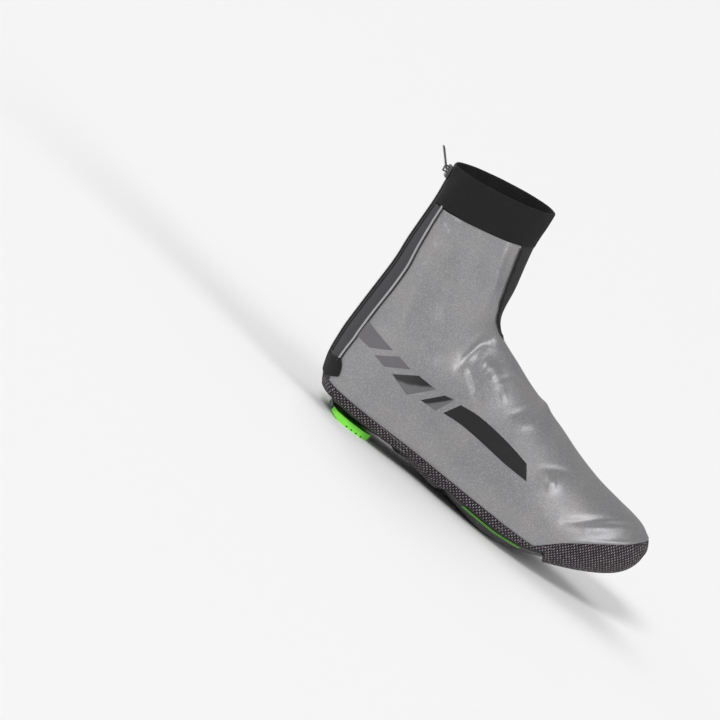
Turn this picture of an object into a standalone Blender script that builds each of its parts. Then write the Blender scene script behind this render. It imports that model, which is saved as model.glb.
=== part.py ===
"""Right cycling overshoe pulled over the sole unit of a road shoe.

X runs from heel to toe, Y to the inner (medial) side and Z up. The origin is on the
floor under the middle of the heel tread. Lengths are in metres.
"""

import math

import bmesh
import bpy
import numpy as np
from mathutils import Matrix, Vector

# Driving sizes of the overshoe
FOOT_LENGTH = 0.300
BALL_WIDTH = 0.102
HEEL_WIDTH = 0.070
COLLAR_WIDTH = 0.066
INSTEP_HEIGHT = 0.110
SHAFT_RISE = 0.108
ANKLE_SWING = math.radians(9)
WALL = 0.0018
CLEARANCE = 0.0003

# Seams and cut-outs of the overshoe
SEAM_HEIGHT = 0.020
HEM_HEIGHT = 0.0125
SEAM_GAP = 0.0004
BAND_PROUD = 0.0007
BAND_WALL = 0.0020
PATCH_TOP = 0.0355
PATCH_HALF_WIDTH = 0.024
PATCH_WALL = 0.0010
ZIP_HALF_WIDTH = 0.0042
ZIP_THICKNESS = 0.0011
ZIP_SIDE_GAP = 0.0007
STRAP_REAR = 0.085
STRAP_FRONT = 0.119
CLEAT_OPENING_FRONT = 0.244

# Sole unit of the road shoe inside
SOLE_FIT = 0.0018
SOLE_EDGE = 0.0140
BALL_FLAT_REAR = 0.160
BALL_FLAT_FRONT = 0.196
BALL_FLAT_DROP = 0.0013
BALL_FLAT_RUNOUT = 0.015
BALL_FLAT_HEIGHT = 0.005
HEEL_SEAT_BACK = 0.045
TREAD_HEIGHT = 0.0056
TREAD_LENGTH = 0.036
TREAD_WIDTH = 0.044
TREAD_RUNOUT = math.radians(14)
GROOVE_WIDTH = 0.0014
GROOVE_DEPTH = 0.0015
PAD_HEIGHT = 0.0046
SCREW_RADIUS = 0.0030
SCREW_HEAD = 0.0012
INSOLE_THICKNESS = 0.0030
INSOLE_INSET = 0.0025

# Cleat fixings under the ball
BOLT_FRONT = 0.203
BOLT_REAR = 0.172
BOLT_SPREAD = 0.038
BOLT_RADIUS = 0.0042
BOLT_HOLE = 0.0021
BOLT_DEPTH = 0.0040
BOLT_RECESS = 0.0006
SLOT_DEPTH = 0.0030
SLOT_WIDTH = 0.0062
LONG_SLOT = 0.050
SHORT_SLOT = 0.023
SLOT_SPREAD = 0.0146

# Lime foxing strip along the edge of the sole
FOXING_REAR = 0.148
FOXING_FRONT = 0.205
FOXING_LOW = 0.0080
FOXING_HIGH = 0.0112
FOXING_THICKNESS = 0.0008

# Zip slider and pull tab
SLIDER_WIDTH = 0.0078
SLIDER_HEIGHT = 0.0100
SLIDER_THICKNESS = 0.0028
BRIDGE_WIDTH = 0.0020
BRIDGE_BAR = 0.0010
BRIDGE_WINDOW = 0.0024
PULL_LENGTH = 0.0175
PULL_WIDTH = 0.0062
PULL_THICKNESS = 0.0014
PULL_REST = math.radians(35)

# Sections of the overshoe from the toe tip over the heel to the collar. A section is a
# closed loop in a plane that holds the Y direction. Its front end lies on the toe,
# instep or shin, and its back end under the sole or on the back of the heel and shaft.
# x: share of the foot length, from the back of the heel.
# z: share of the instep height, and above 1 the excess is a share of the shaft rise.
# outer, inner: half widths as shares of the half width that girth names.
# offset: middle of the loop towards the inner side, as a share of half the ball width.
# widest: place of the greatest width, as a share of the way from back end to front end.
# front_round, back_round: how square each end is, where 2 is an ellipse.
COLUMNS = ("front_x", "front_z", "back_x", "back_z", "outer", "inner", "offset",
           "widest", "front_round", "back_round", "girth")
SECTIONS = (
    (1.000, 0.505, 1.000, 0.505, 0.00, 0.00, 0.14, 0.50, 2.00, 2.0, "ball"),
    (0.992, 0.605, 0.992, 0.409, 0.32, 0.33, 0.14, 0.46, 2.00, 2.1, "ball"),
    (0.968, 0.672, 0.968, 0.327, 0.56, 0.61, 0.13, 0.42, 2.05, 2.3, "ball"),
    (0.926, 0.710, 0.926, 0.250, 0.74, 0.80, 0.12, 0.40, 2.05, 2.5, "ball"),
    (0.860, 0.734, 0.860, 0.164, 0.87, 0.91, 0.10, 0.37, 2.00, 2.7, "ball"),
    (0.780, 0.766, 0.780, 0.082, 0.96, 0.97, 0.07, 0.34, 1.95, 2.9, "ball"),
    (0.690, 0.826, 0.690, 0.000, 1.01, 0.98, 0.05, 0.30, 1.88, 3.0, "ball"),
    (0.600, 0.904, 0.593, -0.036, 1.01, 0.91, 0.04, 0.27, 1.82, 3.1, "ball"),
    (0.517, 0.968, 0.493, -0.012, 0.95, 0.81, 0.04, 0.26, 1.82, 3.1, "ball"),
    (0.450, 1.025, 0.393, 0.034, 0.87, 0.73, 0.04, 0.26, 1.82, 3.0, "ball"),
    (0.398, 1.077, 0.293, 0.058, 1.16, 1.02, 0.03, 0.27, 1.86, 2.9, "heel"),
    (0.358, 1.115, 0.200, 0.024, 1.09, 1.01, 0.02, 0.28, 1.90, 2.9, "heel"),
    (0.330, 1.146, 0.110, 0.018, 1.04, 1.00, 0.01, 0.29, 1.92, 2.8, "heel"),
    (0.310, 1.180, 0.041, 0.094, 1.01, 0.99, 0.00, 0.31, 1.96, 2.4, "heel"),
    (0.292, 1.227, 0.010, 0.264, 0.99, 0.98, 0.00, 0.34, 2.00, 2.2, "heel"),
    (0.275, 1.287, 0.000, 0.454, 0.97, 0.97, 0.00, 0.38, 2.04, 2.15, "heel"),
    (0.258, 1.366, -0.005, 0.645, 0.97, 0.97, 0.00, 0.42, 2.08, 2.1, "heel"),
    (0.241, 1.458, -0.015, 0.836, 0.96, 0.96, 0.00, 0.45, 2.10, 2.1, "heel"),
    (0.223, 1.556, -0.030, 1.028, 1.01, 1.01, 0.00, 0.47, 2.10, 2.1, "collar"),
    (0.205, 1.657, -0.050, 1.213, 0.99, 0.99, 0.00, 0.48, 2.10, 2.1, "collar"),
    (0.180, 1.808, -0.077, 1.507, 0.98, 0.98, 0.00, 0.48, 2.10, 2.1, "collar"),
    (0.166, 1.940, -0.094, 1.650, 0.99, 0.99, 0.00, 0.48, 2.10, 2.1, "collar"),
    (0.150, 2.074, -0.112, 1.791, 1.00, 1.00, 0.00, 0.48, 2.10, 2.1, "collar"),
)
BAND_ROW = 20.0
TOP_ROW = 22.0
SWING_FROM = 13.0
SWING_TO = 18.0
SWING_CENTRE = (0.207, 0.955)

# Rise of the seam between the reflective panels and the woven under panel, as a share
# of the instep height added to SEAM_HEIGHT, against the share of the foot length.
SEAM_RISE = ((-0.20, 0.0), (0.62, 0.0), (0.70, 0.0), (0.725, 0.06), (0.76, 0.145),
             (0.81, 0.23), (0.86, 0.305), (0.91, 0.375), (0.95, 0.435), (0.98, 0.463),
             (1.05, 0.468))

# Rise of the sole's centre line, as a share of the instep height, in the same way.
SOLE_RISE = ((-0.20, 0.010), (0.10, 0.010), (0.35, 0.010), (0.60, 0.000), (0.69, 0.020),
             (0.78, 0.090), (0.86, 0.170), (0.93, 0.255), (0.97, 0.330), (1.05, 0.400))

COLOURS = {
    "reflective": ((0.30, 0.30, 0.31, 1), 0.38, 0.35),
    "elastic": ((0.012, 0.011, 0.012, 1), 0.85, 0.0),
    "woven": ((0.022, 0.019, 0.022, 1), 0.90, 0.0),
    "nylon": ((0.013, 0.013, 0.014, 1), 0.32, 0.0),
    "lime": ((0.19, 0.85, 0.05, 1), 0.50, 0.0),
    "pad": ((0.10, 0.10, 0.11, 1), 0.55, 0.0),
    "steel": ((0.45, 0.45, 0.46, 1), 0.30, 1.0),
    "foam": ((0.020, 0.020, 0.022, 1), 0.95, 0.0),
}


def clear_scene():
    for obj in list(bpy.data.objects):
        bpy.data.objects.remove(obj, do_unlink=True)


def make_collection(name):
    collection = bpy.data.collections.new(name)
    bpy.context.scene.collection.children.link(collection)
    return collection


def make_material(name):
    colour, roughness, metallic = COLOURS[name]
    material = bpy.data.materials.get(name)
    if material is None:
        material = bpy.data.materials.new(name)
        material.use_nodes = True
        shader = material.node_tree.nodes["Principled BSDF"]
        shader.inputs["Base Color"].default_value = colour
        shader.inputs["Roughness"].default_value = roughness
        shader.inputs["Metallic"].default_value = metallic
    return material


def place(obj, collection, colour=None):
    """Move an object to its collection and give it its material."""
    for owner in list(obj.users_collection):
        owner.objects.unlink(obj)
    collection.objects.link(obj)
    if colour is None:
        obj.hide_render = True
        obj.display_type = "WIRE"
    else:
        obj.data.materials.append(make_material(colour))
    return obj


def height(share):
    """Height of a section's end: the instep below 1, the shaft above it."""
    low = min(share, 1.0) * INSTEP_HEIGHT
    return low + max(share - 1.0, 0.0) * SHAFT_RISE


def smooth_step(t):
    t = min(max(t, 0.0), 1.0)
    return t * t * (3 - 2 * t)


def section_values():
    """The table in metres, one array for each column but the last."""
    widths = {"ball": BALL_WIDTH / 2, "heel": HEEL_WIDTH / 2, "collar": COLLAR_WIDTH / 2}
    rows = []
    for row in SECTIONS:
        named = dict(zip(COLUMNS, row))
        girth = widths[named["girth"]]
        rows.append((
            named["front_x"] * FOOT_LENGTH,
            height(named["front_z"]),
            named["back_x"] * FOOT_LENGTH,
            height(named["back_z"]),
            named["outer"] * girth,
            named["inner"] * girth,
            named["offset"] * BALL_WIDTH / 2,
            named["widest"],
            named["front_round"],
            named["back_round"],
        ))
    return np.array(rows)


TABLE = section_values()


def table_at(s):
    """Catmull-Rom curve through the rows of the table."""
    last = len(TABLE) - 1
    s = min(max(s, 0.0), float(last))
    i = min(int(s), last - 1)
    t = s - i
    b = TABLE[i]
    c = TABLE[i + 1]
    slope_in = (c - TABLE[i - 1]) / 2 if i > 0 else c - b
    slope_out = (TABLE[i + 2] - b) / 2 if i + 2 <= last else c - b
    t2 = t * t
    t3 = t2 * t
    return ((2 * t3 - 3 * t2 + 1) * b + (t3 - 2 * t2 + t) * slope_in
            + (3 * t2 - 2 * t3) * c + (t3 - t2) * slope_out)


def swing(s, x, z):
    """Turn the shaft forward about the ankle, more and more above the heel."""
    angle = ANKLE_SWING * smooth_step((s - SWING_FROM) / (SWING_TO - SWING_FROM))
    centre_x = SWING_CENTRE[0] * FOOT_LENGTH
    centre_z = SWING_CENTRE[1] * INSTEP_HEIGHT
    dx = x - centre_x
    dz = z - centre_z
    return (centre_x + dx * math.cos(angle) + dz * math.sin(angle),
            centre_z + dz * math.cos(angle) - dx * math.sin(angle))


def half_section(s, side, steps=60):
    """Fine line of one half of a section, from its back end to its front end."""
    fx, fz, bx, bz, outer, inner, offset, widest, front_round, back_round = table_at(s)
    width = max(outer if side < 0 else inner, 0.0)
    fx, fz = swing(s, fx, fz)
    bx, bz = swing(s, bx, bz)
    turn = np.linspace(0, math.pi / 2, steps)
    back = turn[::-1][1:]
    t = np.concatenate([
        widest * (1 - np.cos(turn).clip(0) ** (2 / back_round)),
        widest + (1 - widest) * np.cos(back).clip(0) ** (2 / front_round),
    ])
    y = width * np.concatenate([np.sin(turn) ** (2 / back_round),
                                np.sin(back) ** (2 / front_round)])
    return np.column_stack([bx + (fx - bx) * t, side * y + offset, bz + (fz - bz) * t])


def along(line):
    """Share of the length at each point of a line."""
    steps = np.linalg.norm(np.diff(line, axis=0), axis=1)
    length = np.concatenate([[0], np.cumsum(steps)])
    return length / length[-1] if length[-1] > 0 else np.linspace(0, 1, len(line))


def arc_length(s, side):
    line = half_section(s, side)
    return float(np.linalg.norm(np.diff(line, axis=0), axis=1).sum())


def skin(s, q, side):
    """Point of the overshoe's outer face: q is 0 at the back end and 1 at the front."""
    line = half_section(s, side)
    share = along(line)
    return np.array([np.interp(q, share, line[:, k]) for k in range(3)])


def outward(s, q, side):
    """Unit normal of the outer face."""
    ds = 0.04
    dq = 0.012
    if s < ds:
        return np.array((1.0, 0.0, 0.0))
    along_s = skin(min(s + ds, TOP_ROW), q, side) - skin(s - ds, q, side)
    if q < dq or q > 1 - dq:
        normal = np.cross(along_s, (0, 1, 0))
        across = skin(s, 1.0, side) - skin(s, 0.0, side)
        if np.dot(normal, across) * (q - 0.5) < 0:
            normal = -normal
        return normal / np.linalg.norm(normal)
    normal = np.cross(along_s, skin(s, q + dq, side) - skin(s, q - dq, side))
    if normal[1] * side < 0:
        normal = -normal
    return normal / np.linalg.norm(normal)


def inside(s, q, side, depth):
    """Point at a depth below the outer face, or proud of it where depth is negative."""
    return skin(s, q, side) - outward(s, q, side) * depth


def rise(table, x):
    """Height read from one of the rise tables at a place along the foot."""
    shares, values = zip(*table)
    return np.interp(x / FOOT_LENGTH, shares, values) * INSTEP_HEIGHT


def seam_share(s, side, shift):
    """Where a section crosses the seam line, moved up by shift. It is 0 above the seam."""
    line = half_section(s, side, 140)
    above = line[:, 2] - (rise(SEAM_RISE, line[:, 0]) + SEAM_HEIGHT + shift)
    share = along(line)
    if above[0] >= 0:
        return 0.0
    crossing = np.nonzero(above >= 0)[0]
    if len(crossing) == 0:
        return 1.0
    k = crossing[0]
    part = above[k - 1] / (above[k - 1] - above[k])
    return float(share[k - 1] + part * (share[k] - share[k - 1]))


def row_where(test, low, high):
    """Row between low and high at which a test turns from false to true."""
    for _ in range(40):
        middle = (low + high) / 2
        if test(middle):
            high = middle
        else:
            low = middle
    return high


def rows_between(start, end, step):
    """Rows from start to end, on whole multiples of the step in between."""
    first = math.floor(start / step + 0.35) + 1
    last = math.ceil(end / step - 0.35) - 1
    return [start] + [k * step for k in range(first, last + 1)] + [end]


def toe_row(shift):
    """Row at which the seam line crosses the ridge over the toe."""
    return row_where(lambda s: seam_share(s, -1, shift) < 1.0, 0.6, 4.0)


def heel_row(shift):
    """Row at which the seam line crosses the back of the heel."""
    return row_where(lambda s: seam_share(s, -1, shift) <= 0.0, 11.0, 15.0)


def share_at(s, side, depth, level):
    """Where a section, at a depth inside, reaches a height that varies with x."""
    shares = np.linspace(0.0, 0.6, 31)
    last = None
    for k, q in enumerate(shares):
        p = inside(s, q, side, depth)
        over = p[2] - level(p[0])
        if over >= 0:
            if k == 0:
                return 0.0
            return float(shares[k - 1] + last / (last - over) * (q - shares[k - 1]))
        last = over
    return float(shares[-1])


def rows_below(depth, level, step):
    """Rows from toe to heel whose back end, at a depth inside, lies below a level."""
    def over(s):
        p = inside(s, 0.0, -1, depth)
        return p[2] - level(p[0])
    start = row_where(lambda s: over(s) < 0, 0.4, 4.0)
    end = row_where(lambda s: over(s) > 0, 11.0, 15.0)
    return rows_between(start + 0.03, end - 0.01, step)


def sole_edge(x):
    """Height of the top edge of the outsole."""
    return SOLE_EDGE + float(rise(SOLE_RISE, x))


def sole_depth():
    """Depth of the outsole's side below the outer face of the overshoe."""
    return WALL + SOLE_FIT


def world(point):
    """From the back of the heel to the origin under the heel tread."""
    return (float(point[0]) - HEEL_SEAT_BACK, float(point[1]), float(point[2]))


def finish_mesh(name, bm):
    """Weld what meets, turn the faces out and make the object."""
    bmesh.ops.remove_doubles(bm, verts=bm.verts, dist=2e-5)
    bmesh.ops.dissolve_degenerate(bm, edges=bm.edges, dist=1e-6)
    bmesh.ops.recalc_face_normals(bm, faces=bm.faces)
    mesh = bpy.data.meshes.new(name)
    bm.to_mesh(mesh)
    bm.free()
    return bpy.data.objects.new(name, mesh)


def both_sides(columns):
    """Column numbers from the outer side to the inner side, each with its side."""
    return [(k, -1 if k < 0 else 1) for k in range(-columns, columns + 1)]


def grid_faces(bm, grid):
    """Vertices and quads of a grid of points."""
    verts = [[bm.verts.new(world(p)) for p in row] for row in grid]
    for upper, lower in zip(verts, verts[1:]):
        for k in range(len(upper) - 1):
            bm.faces.new((upper[k], upper[k + 1], lower[k + 1], lower[k]))
    return verts


def closed_between(name, bottom, top):
    """Closed body between two grids of the same size, walled along their open borders."""
    bm = bmesh.new()
    low = grid_faces(bm, bottom)
    high = grid_faces(bm, top)
    last = len(low[0]) - 1
    seam = [np.linalg.norm(np.subtract(row[0], row[last])) < 2e-5 for row in bottom]
    for i in range(len(low) - 1):
        if seam[i] and seam[i + 1]:
            continue
        for k in (0, last):
            bm.faces.new((low[i][k], high[i][k], high[i + 1][k], low[i + 1][k]))
    for i in (0, len(low) - 1):
        for k in range(last):
            if np.linalg.norm(np.subtract(bottom[i][k], bottom[i][k + 1])) > 2e-5:
                bm.faces.new((low[i][k], high[i][k], high[i][k + 1], low[i][k + 1]))
    obj = finish_mesh(name, bm)
    smooth(obj)
    return obj


def shell(name, places, proud, thickness):
    """Wall through a grid of (row, share, side), its outer face proud of the skin."""
    outer = [[inside(s, q, side, -proud) for s, q, side in line] for line in places]
    inner = [[inside(s, q, side, thickness - proud) for s, q, side in line]
             for line in places]
    return closed_between(name, outer, inner)


def smooth(obj):
    obj.data.shade_smooth()
    obj.data.set_sharp_from_angle(angle=math.radians(40))


def boolean(obj, cutter, operation="DIFFERENCE"):
    modifier = obj.modifiers.new(operation.lower(), "BOOLEAN")
    modifier.operation = operation
    modifier.solver = "EXACT"
    modifier.object = cutter


def prism(name, outline, low, high):
    """Upright block over a flat outline."""
    bm = bmesh.new()
    face = bm.faces.new([bm.verts.new(world((x, y, low))) for x, y in outline])
    raised = bmesh.ops.extrude_face_region(bm, geom=[face])["geom"]
    verts = [item for item in raised if isinstance(item, bmesh.types.BMVert)]
    bmesh.ops.translate(bm, verts=verts, vec=(0, 0, high - low))
    return finish_mesh(name, bm)


def block(name, low, high):
    """Box between two corners, in its own frame."""
    size = [b - a for a, b in zip(low, high)]
    centre = [(a + b) / 2 for a, b in zip(low, high)]
    bpy.ops.mesh.primitive_cube_add(size=1, location=centre)
    obj = bpy.context.object
    obj.name = name
    obj.scale = size
    bpy.ops.object.transform_apply(location=True, rotation=False, scale=True)
    return obj


def circle(x, y, radius, count=16):
    turns = [2 * math.pi * k / count for k in range(count)]
    return [(x + radius * math.cos(a), y + radius * math.sin(a)) for a in turns]


def stadium(x, y, length, width, count=6):
    """Slot outline with round ends, along X."""
    points = []
    for end in (1, -1):
        for k in range(count + 1):
            a = -end * math.pi / 2 + math.pi * k / count
            points.append((x + end * (length - width) / 2 + width / 2 * math.cos(a),
                           y + width / 2 * math.sin(a)))
    return points


def smooth_outline(points, copies=5):
    """Closed Catmull-Rom curve through a few points."""
    points = np.array(points, float)
    count = len(points)
    line = []
    for i in range(count):
        a, b, c, d = (points[(i + k) % count] for k in (-1, 0, 1, 2))
        for t in np.arange(copies) / copies:
            t2 = t * t
            t3 = t2 * t
            line.append(tuple((2 * t3 - 3 * t2 + 1) * b + (t3 - 2 * t2 + t) * (c - a) / 2
                              + (3 * t2 - 2 * t3) * c + (t3 - t2) * (d - b) / 2))
    return line


def build_upper(parts, columns=13, step=0.5):
    """Reflective side panels, rear panel and shin strip: one hollow shell."""
    shift = SEAM_GAP / 2
    start = toe_row(shift)
    heel = heel_row(shift)
    rows = rows_between(start, heel, step)[:-1] + rows_between(heel, BAND_ROW - 0.02, step)
    places = []
    for s in rows:
        low = {side: seam_share(s, side, shift) for side in (-1, 1)}
        places.append([(s, 1 - abs(k) / columns * (1 - low[side]), side)
                       for k, side in both_sides(columns)])
    return place(shell("upper", places, 0.0, WALL), parts, "reflective")


def build_collar_band(parts, columns=13, levels=4):
    """Elastic band round the top, open at the back for the zip."""
    first = BAND_ROW + 0.02
    places = []
    for level in range(levels + 1):
        s = first + (TOP_ROW - first) * level / levels
        low = (ZIP_HALF_WIDTH + ZIP_SIDE_GAP) / arc_length(s, -1)
        places.append([(s, 1 - abs(k) / columns * (1 - low), side)
                       for k, side in both_sides(columns)])
    return place(shell("collar_band", places, BAND_PROUD, BAND_WALL), parts, "elastic")


def cutter_under(name, outline, top_of, cutters):
    """Block below a flat outline, with its top at a height that varies with x."""
    low = -0.3 * INSTEP_HEIGHT
    middle_x = sum(p[0] for p in outline) / len(outline)
    middle_y = sum(p[1] for p in outline) / len(outline)
    bm = bmesh.new()
    bottom = [bm.verts.new(world((x, y, low))) for x, y in outline]
    top = [bm.verts.new(world((x, y, top_of(x)))) for x, y in outline]
    low_middle = bm.verts.new(world((middle_x, middle_y, low)))
    top_middle = bm.verts.new(world((middle_x, middle_y, top_of(middle_x))))
    for k in range(len(outline)):
        n = (k + 1) % len(outline)
        bm.faces.new((bottom[k], bottom[n], top[n], top[k]))
        bm.faces.new((bottom[n], bottom[k], low_middle))
        bm.faces.new((top[k], top[n], top_middle))
    return place(finish_mesh(name, bm), cutters)


def cleat_opening_outline():
    """Opening under the forefoot: it runs up to the side wall on the outer side."""
    half = BALL_WIDTH / 2
    front = CLEAT_OPENING_FRONT
    rear = STRAP_FRONT
    return smooth_outline((
        (front, 0.06 * half), (front - 0.010, -0.45 * half), (front - 0.024, -0.95 * half),
        (front - 0.050, -1.25 * half), (rear + 0.050, -1.25 * half),
        (rear + 0.018, -0.98 * half), (rear + 0.004, -0.48 * half), (rear, 0.0),
        (rear + 0.006, 0.42 * half), (rear + 0.034, 0.72 * half),
        (front - 0.052, 0.80 * half), (front - 0.014, 0.52 * half)))


def heel_opening_outline():
    """Opening under the heel, wider than the heel, behind the arch strap."""
    half = BALL_WIDTH / 2
    edge = STRAP_REAR
    back = -0.030
    return smooth_outline((
        (edge, 0.0), (edge + 0.003, -0.45 * half), (edge + 0.016, -0.85 * half),
        (edge - 0.010, -1.15 * half), (0.0, -1.20 * half), (back, -0.6 * half),
        (back, 0.6 * half), (0.0, 1.20 * half), (edge - 0.010, 1.15 * half),
        (edge + 0.014, 0.80 * half), (edge + 0.003, 0.42 * half)))


def build_under_panel(parts, cutters, columns=7, step=0.5):
    """Woven panel: toe cap, side margins, arch strap and heel surround."""
    shift = -SEAM_GAP / 2
    start = toe_row(shift)
    heel = heel_row(shift)
    rows = rows_between(0.0, start, step / 2)[:-1] + rows_between(start, heel, step)
    places = []
    for s in rows:
        high = {side: seam_share(s, side, shift) for side in (-1, 1)}
        places.append([(s, abs(k) / columns * high[side], side)
                       for k, side in both_sides(columns)])
    obj = shell("under_panel", places, 0.0, WALL)

    def cleat_top(x):
        toe = (SEAM_HEIGHT - HEM_HEIGHT) * smooth_step((x - BOLT_FRONT) / 0.04)
        return HEM_HEIGHT + float(rise(SOLE_RISE, x)) + toe

    def heel_top(x):
        return HEM_HEIGHT

    boolean(obj, cutter_under("cleat_opening", cleat_opening_outline(), cleat_top, cutters))
    boolean(obj, cutter_under("heel_opening", heel_opening_outline(), heel_top, cutters))
    return place(obj, parts, "woven")


def box_cutter(name, low, high, cutters):
    return place(block(name, world(low), world(high)), cutters)


def build_heel_patch(parts, cutters, columns=9, step=0.22):
    """Patch over the back of the heel, cut from a shell just outside the upper."""
    first = heel_row(SEAM_GAP) + 0.01
    last = row_where(lambda s: skin(s, 0.0, -1)[2] > PATCH_TOP * 1.25, first, 17.0)
    places = []
    for s in rows_between(first, last, step):
        reach = 2.1 * PATCH_HALF_WIDTH / arc_length(s, -1)
        places.append([(s, abs(k) / columns * reach, side) for k, side in both_sides(columns)])
    obj = shell("heel_patch", places, CLEARANCE + PATCH_WALL, PATCH_WALL)
    cutter = box_cutter("heel_patch_limits",
                        (-0.1 * FOOT_LENGTH, -PATCH_HALF_WIDTH, 0.0),
                        (0.11 * FOOT_LENGTH, PATCH_HALF_WIDTH, PATCH_TOP), cutters)
    boolean(obj, cutter, "INTERSECT")
    return place(obj, parts, "elastic")


def build_zip_chain(parts, step=0.5):
    """Tape and coil of the zip up the centre of the back."""
    start = row_where(lambda s: skin(s, 0.0, -1)[2] > PATCH_TOP + 0.0008, 13.0, 17.0)
    places = []
    for s in rows_between(start, TOP_ROW - 0.03, step):
        reach = ZIP_HALF_WIDTH / arc_length(s, -1)
        places.append([(s, share * reach, side)
                       for share, side in ((1.0, -1), (0.3, -1), (0.0, 1), (0.3, 1), (1.0, 1))])
    chain = shell("zip_chain", places, CLEARANCE + ZIP_THICKNESS, ZIP_THICKNESS)
    return place(chain, parts, "nylon")


def bolt_places():
    return {
        "front": (BOLT_FRONT, 0.0),
        "rear_outer": (BOLT_REAR, -BOLT_SPREAD / 2),
        "rear_inner": (BOLT_REAR, BOLT_SPREAD / 2),
    }


def insert_base(x):
    """Height of the lower face of a threaded insert."""
    return BOLT_RECESS + float(rise(SOLE_RISE, x))


def ball_drop(x, z):
    """How far the sole's lower face reaches down under the ball, to rest on a flat."""
    rear = smooth_step((x - BALL_FLAT_REAR) / BALL_FLAT_RUNOUT + 1)
    front = smooth_step((BALL_FLAT_FRONT - x) / BALL_FLAT_RUNOUT + 1)
    return BALL_FLAT_DROP * rear * front * smooth_step(1 - z / BALL_FLAT_HEIGHT)


def build_outsole(parts, cutters, columns=8, step=0.5):
    """Nylon outsole, flat under the ball and under the heel, with its cleat pockets."""
    depth = sole_depth()
    seat = TREAD_HEIGHT + CLEARANCE
    bottom = []
    top = []
    for s in rows_below(depth, sole_edge, step):
        reach = {side: share_at(s, side, depth, sole_edge) for side in (-1, 1)}
        edge = {side: inside(s, reach[side], side, depth) for side in (-1, 1)}
        low = []
        high = []
        for k, side in both_sides(columns):
            p = inside(s, abs(k) / columns * reach[side], side, depth)
            floor = seat if p[0] < STRAP_REAR - HEM_HEIGHT else 0.0
            low.append((p[0], p[1], max(p[2] - ball_drop(p[0], p[2]), floor)))
            high.append(edge[-1] + (k + columns) / (2 * columns) * (edge[1] - edge[-1]))
        low[0] = high[0]
        low[-1] = high[-1]
        bottom.append(low)
        top.append(high)
    obj = closed_between("outsole", bottom, top)
    under = -0.05 * INSTEP_HEIGHT
    for name, (x, y) in bolt_places().items():
        pocket = prism("pocket_" + name, circle(x, y, BOLT_RADIUS + CLEARANCE), under,
                       insert_base(x) + BOLT_DEPTH + CLEARANCE)
        boolean(obj, place(pocket, cutters))
    middle = (BOLT_FRONT + BOLT_REAR) / 2 - BOLT_RADIUS
    for name, length, side in (("long", LONG_SLOT, -1), ("short", SHORT_SLOT, 1)):
        outline = stadium(middle, side * SLOT_SPREAD / 2, length, SLOT_WIDTH)
        slot = prism("slot_" + name, outline, under, SLOT_DEPTH)
        boolean(obj, place(slot, cutters))
    return place(obj, parts, "nylon")


def build_insole(parts, columns=5, step=1.0):
    depth = WALL + INSOLE_INSET

    def base(x):
        return sole_edge(x) + 2 * CLEARANCE

    bottom = []
    top = []
    for s in rows_below(depth, base, step):
        edge = [inside(s, share_at(s, side, depth, base), side, depth) for side in (-1, 1)]
        shares = [k / (2 * columns) for k in range(2 * columns + 1)]
        bottom.append([edge[0] + share * (edge[1] - edge[0]) for share in shares])
        top.append([p + np.array((0.0, 0.0, INSOLE_THICKNESS)) for p in bottom[-1]])
    return place(closed_between("insole", bottom, top), parts, "foam")


def build_foxing(parts, columns=3, step=0.25):
    """Lime strip along the outer edge of the forefoot."""
    depth = sole_depth()
    first = row_where(lambda s: skin(s, 0.2, -1)[0] < FOXING_FRONT, 2.0, 9.0)
    last = row_where(lambda s: skin(s, 0.2, -1)[0] < FOXING_REAR, 2.0, 10.0)
    inner = []
    outer = []
    for s in rows_between(first, last, step):
        low = share_at(s, -1, depth, lambda x: FOXING_LOW + float(rise(SOLE_RISE, x)))
        high = share_at(s, -1, depth, lambda x: FOXING_HIGH + float(rise(SOLE_RISE, x)))
        shares = [low + (high - low) * k / columns for k in range(columns + 1)]
        inner.append([inside(s, q, -1, depth - CLEARANCE) for q in shares])
        outer.append([inside(s, q, -1, depth - CLEARANCE - FOXING_THICKNESS) for q in shares])
    return place(closed_between("foxing_strip", inner, outer), parts, "lime")


def heel_outline(shares):
    """Outline under the heel from shares of the tread's length and half width."""
    back = HEEL_SEAT_BACK - TREAD_LENGTH / 2
    return [(back + a * TREAD_LENGTH, b * TREAD_WIDTH / 2) for a, b in shares]


def mirrored(shares):
    return list(shares) + [(a, -b) for a, b in reversed(shares)]


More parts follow.
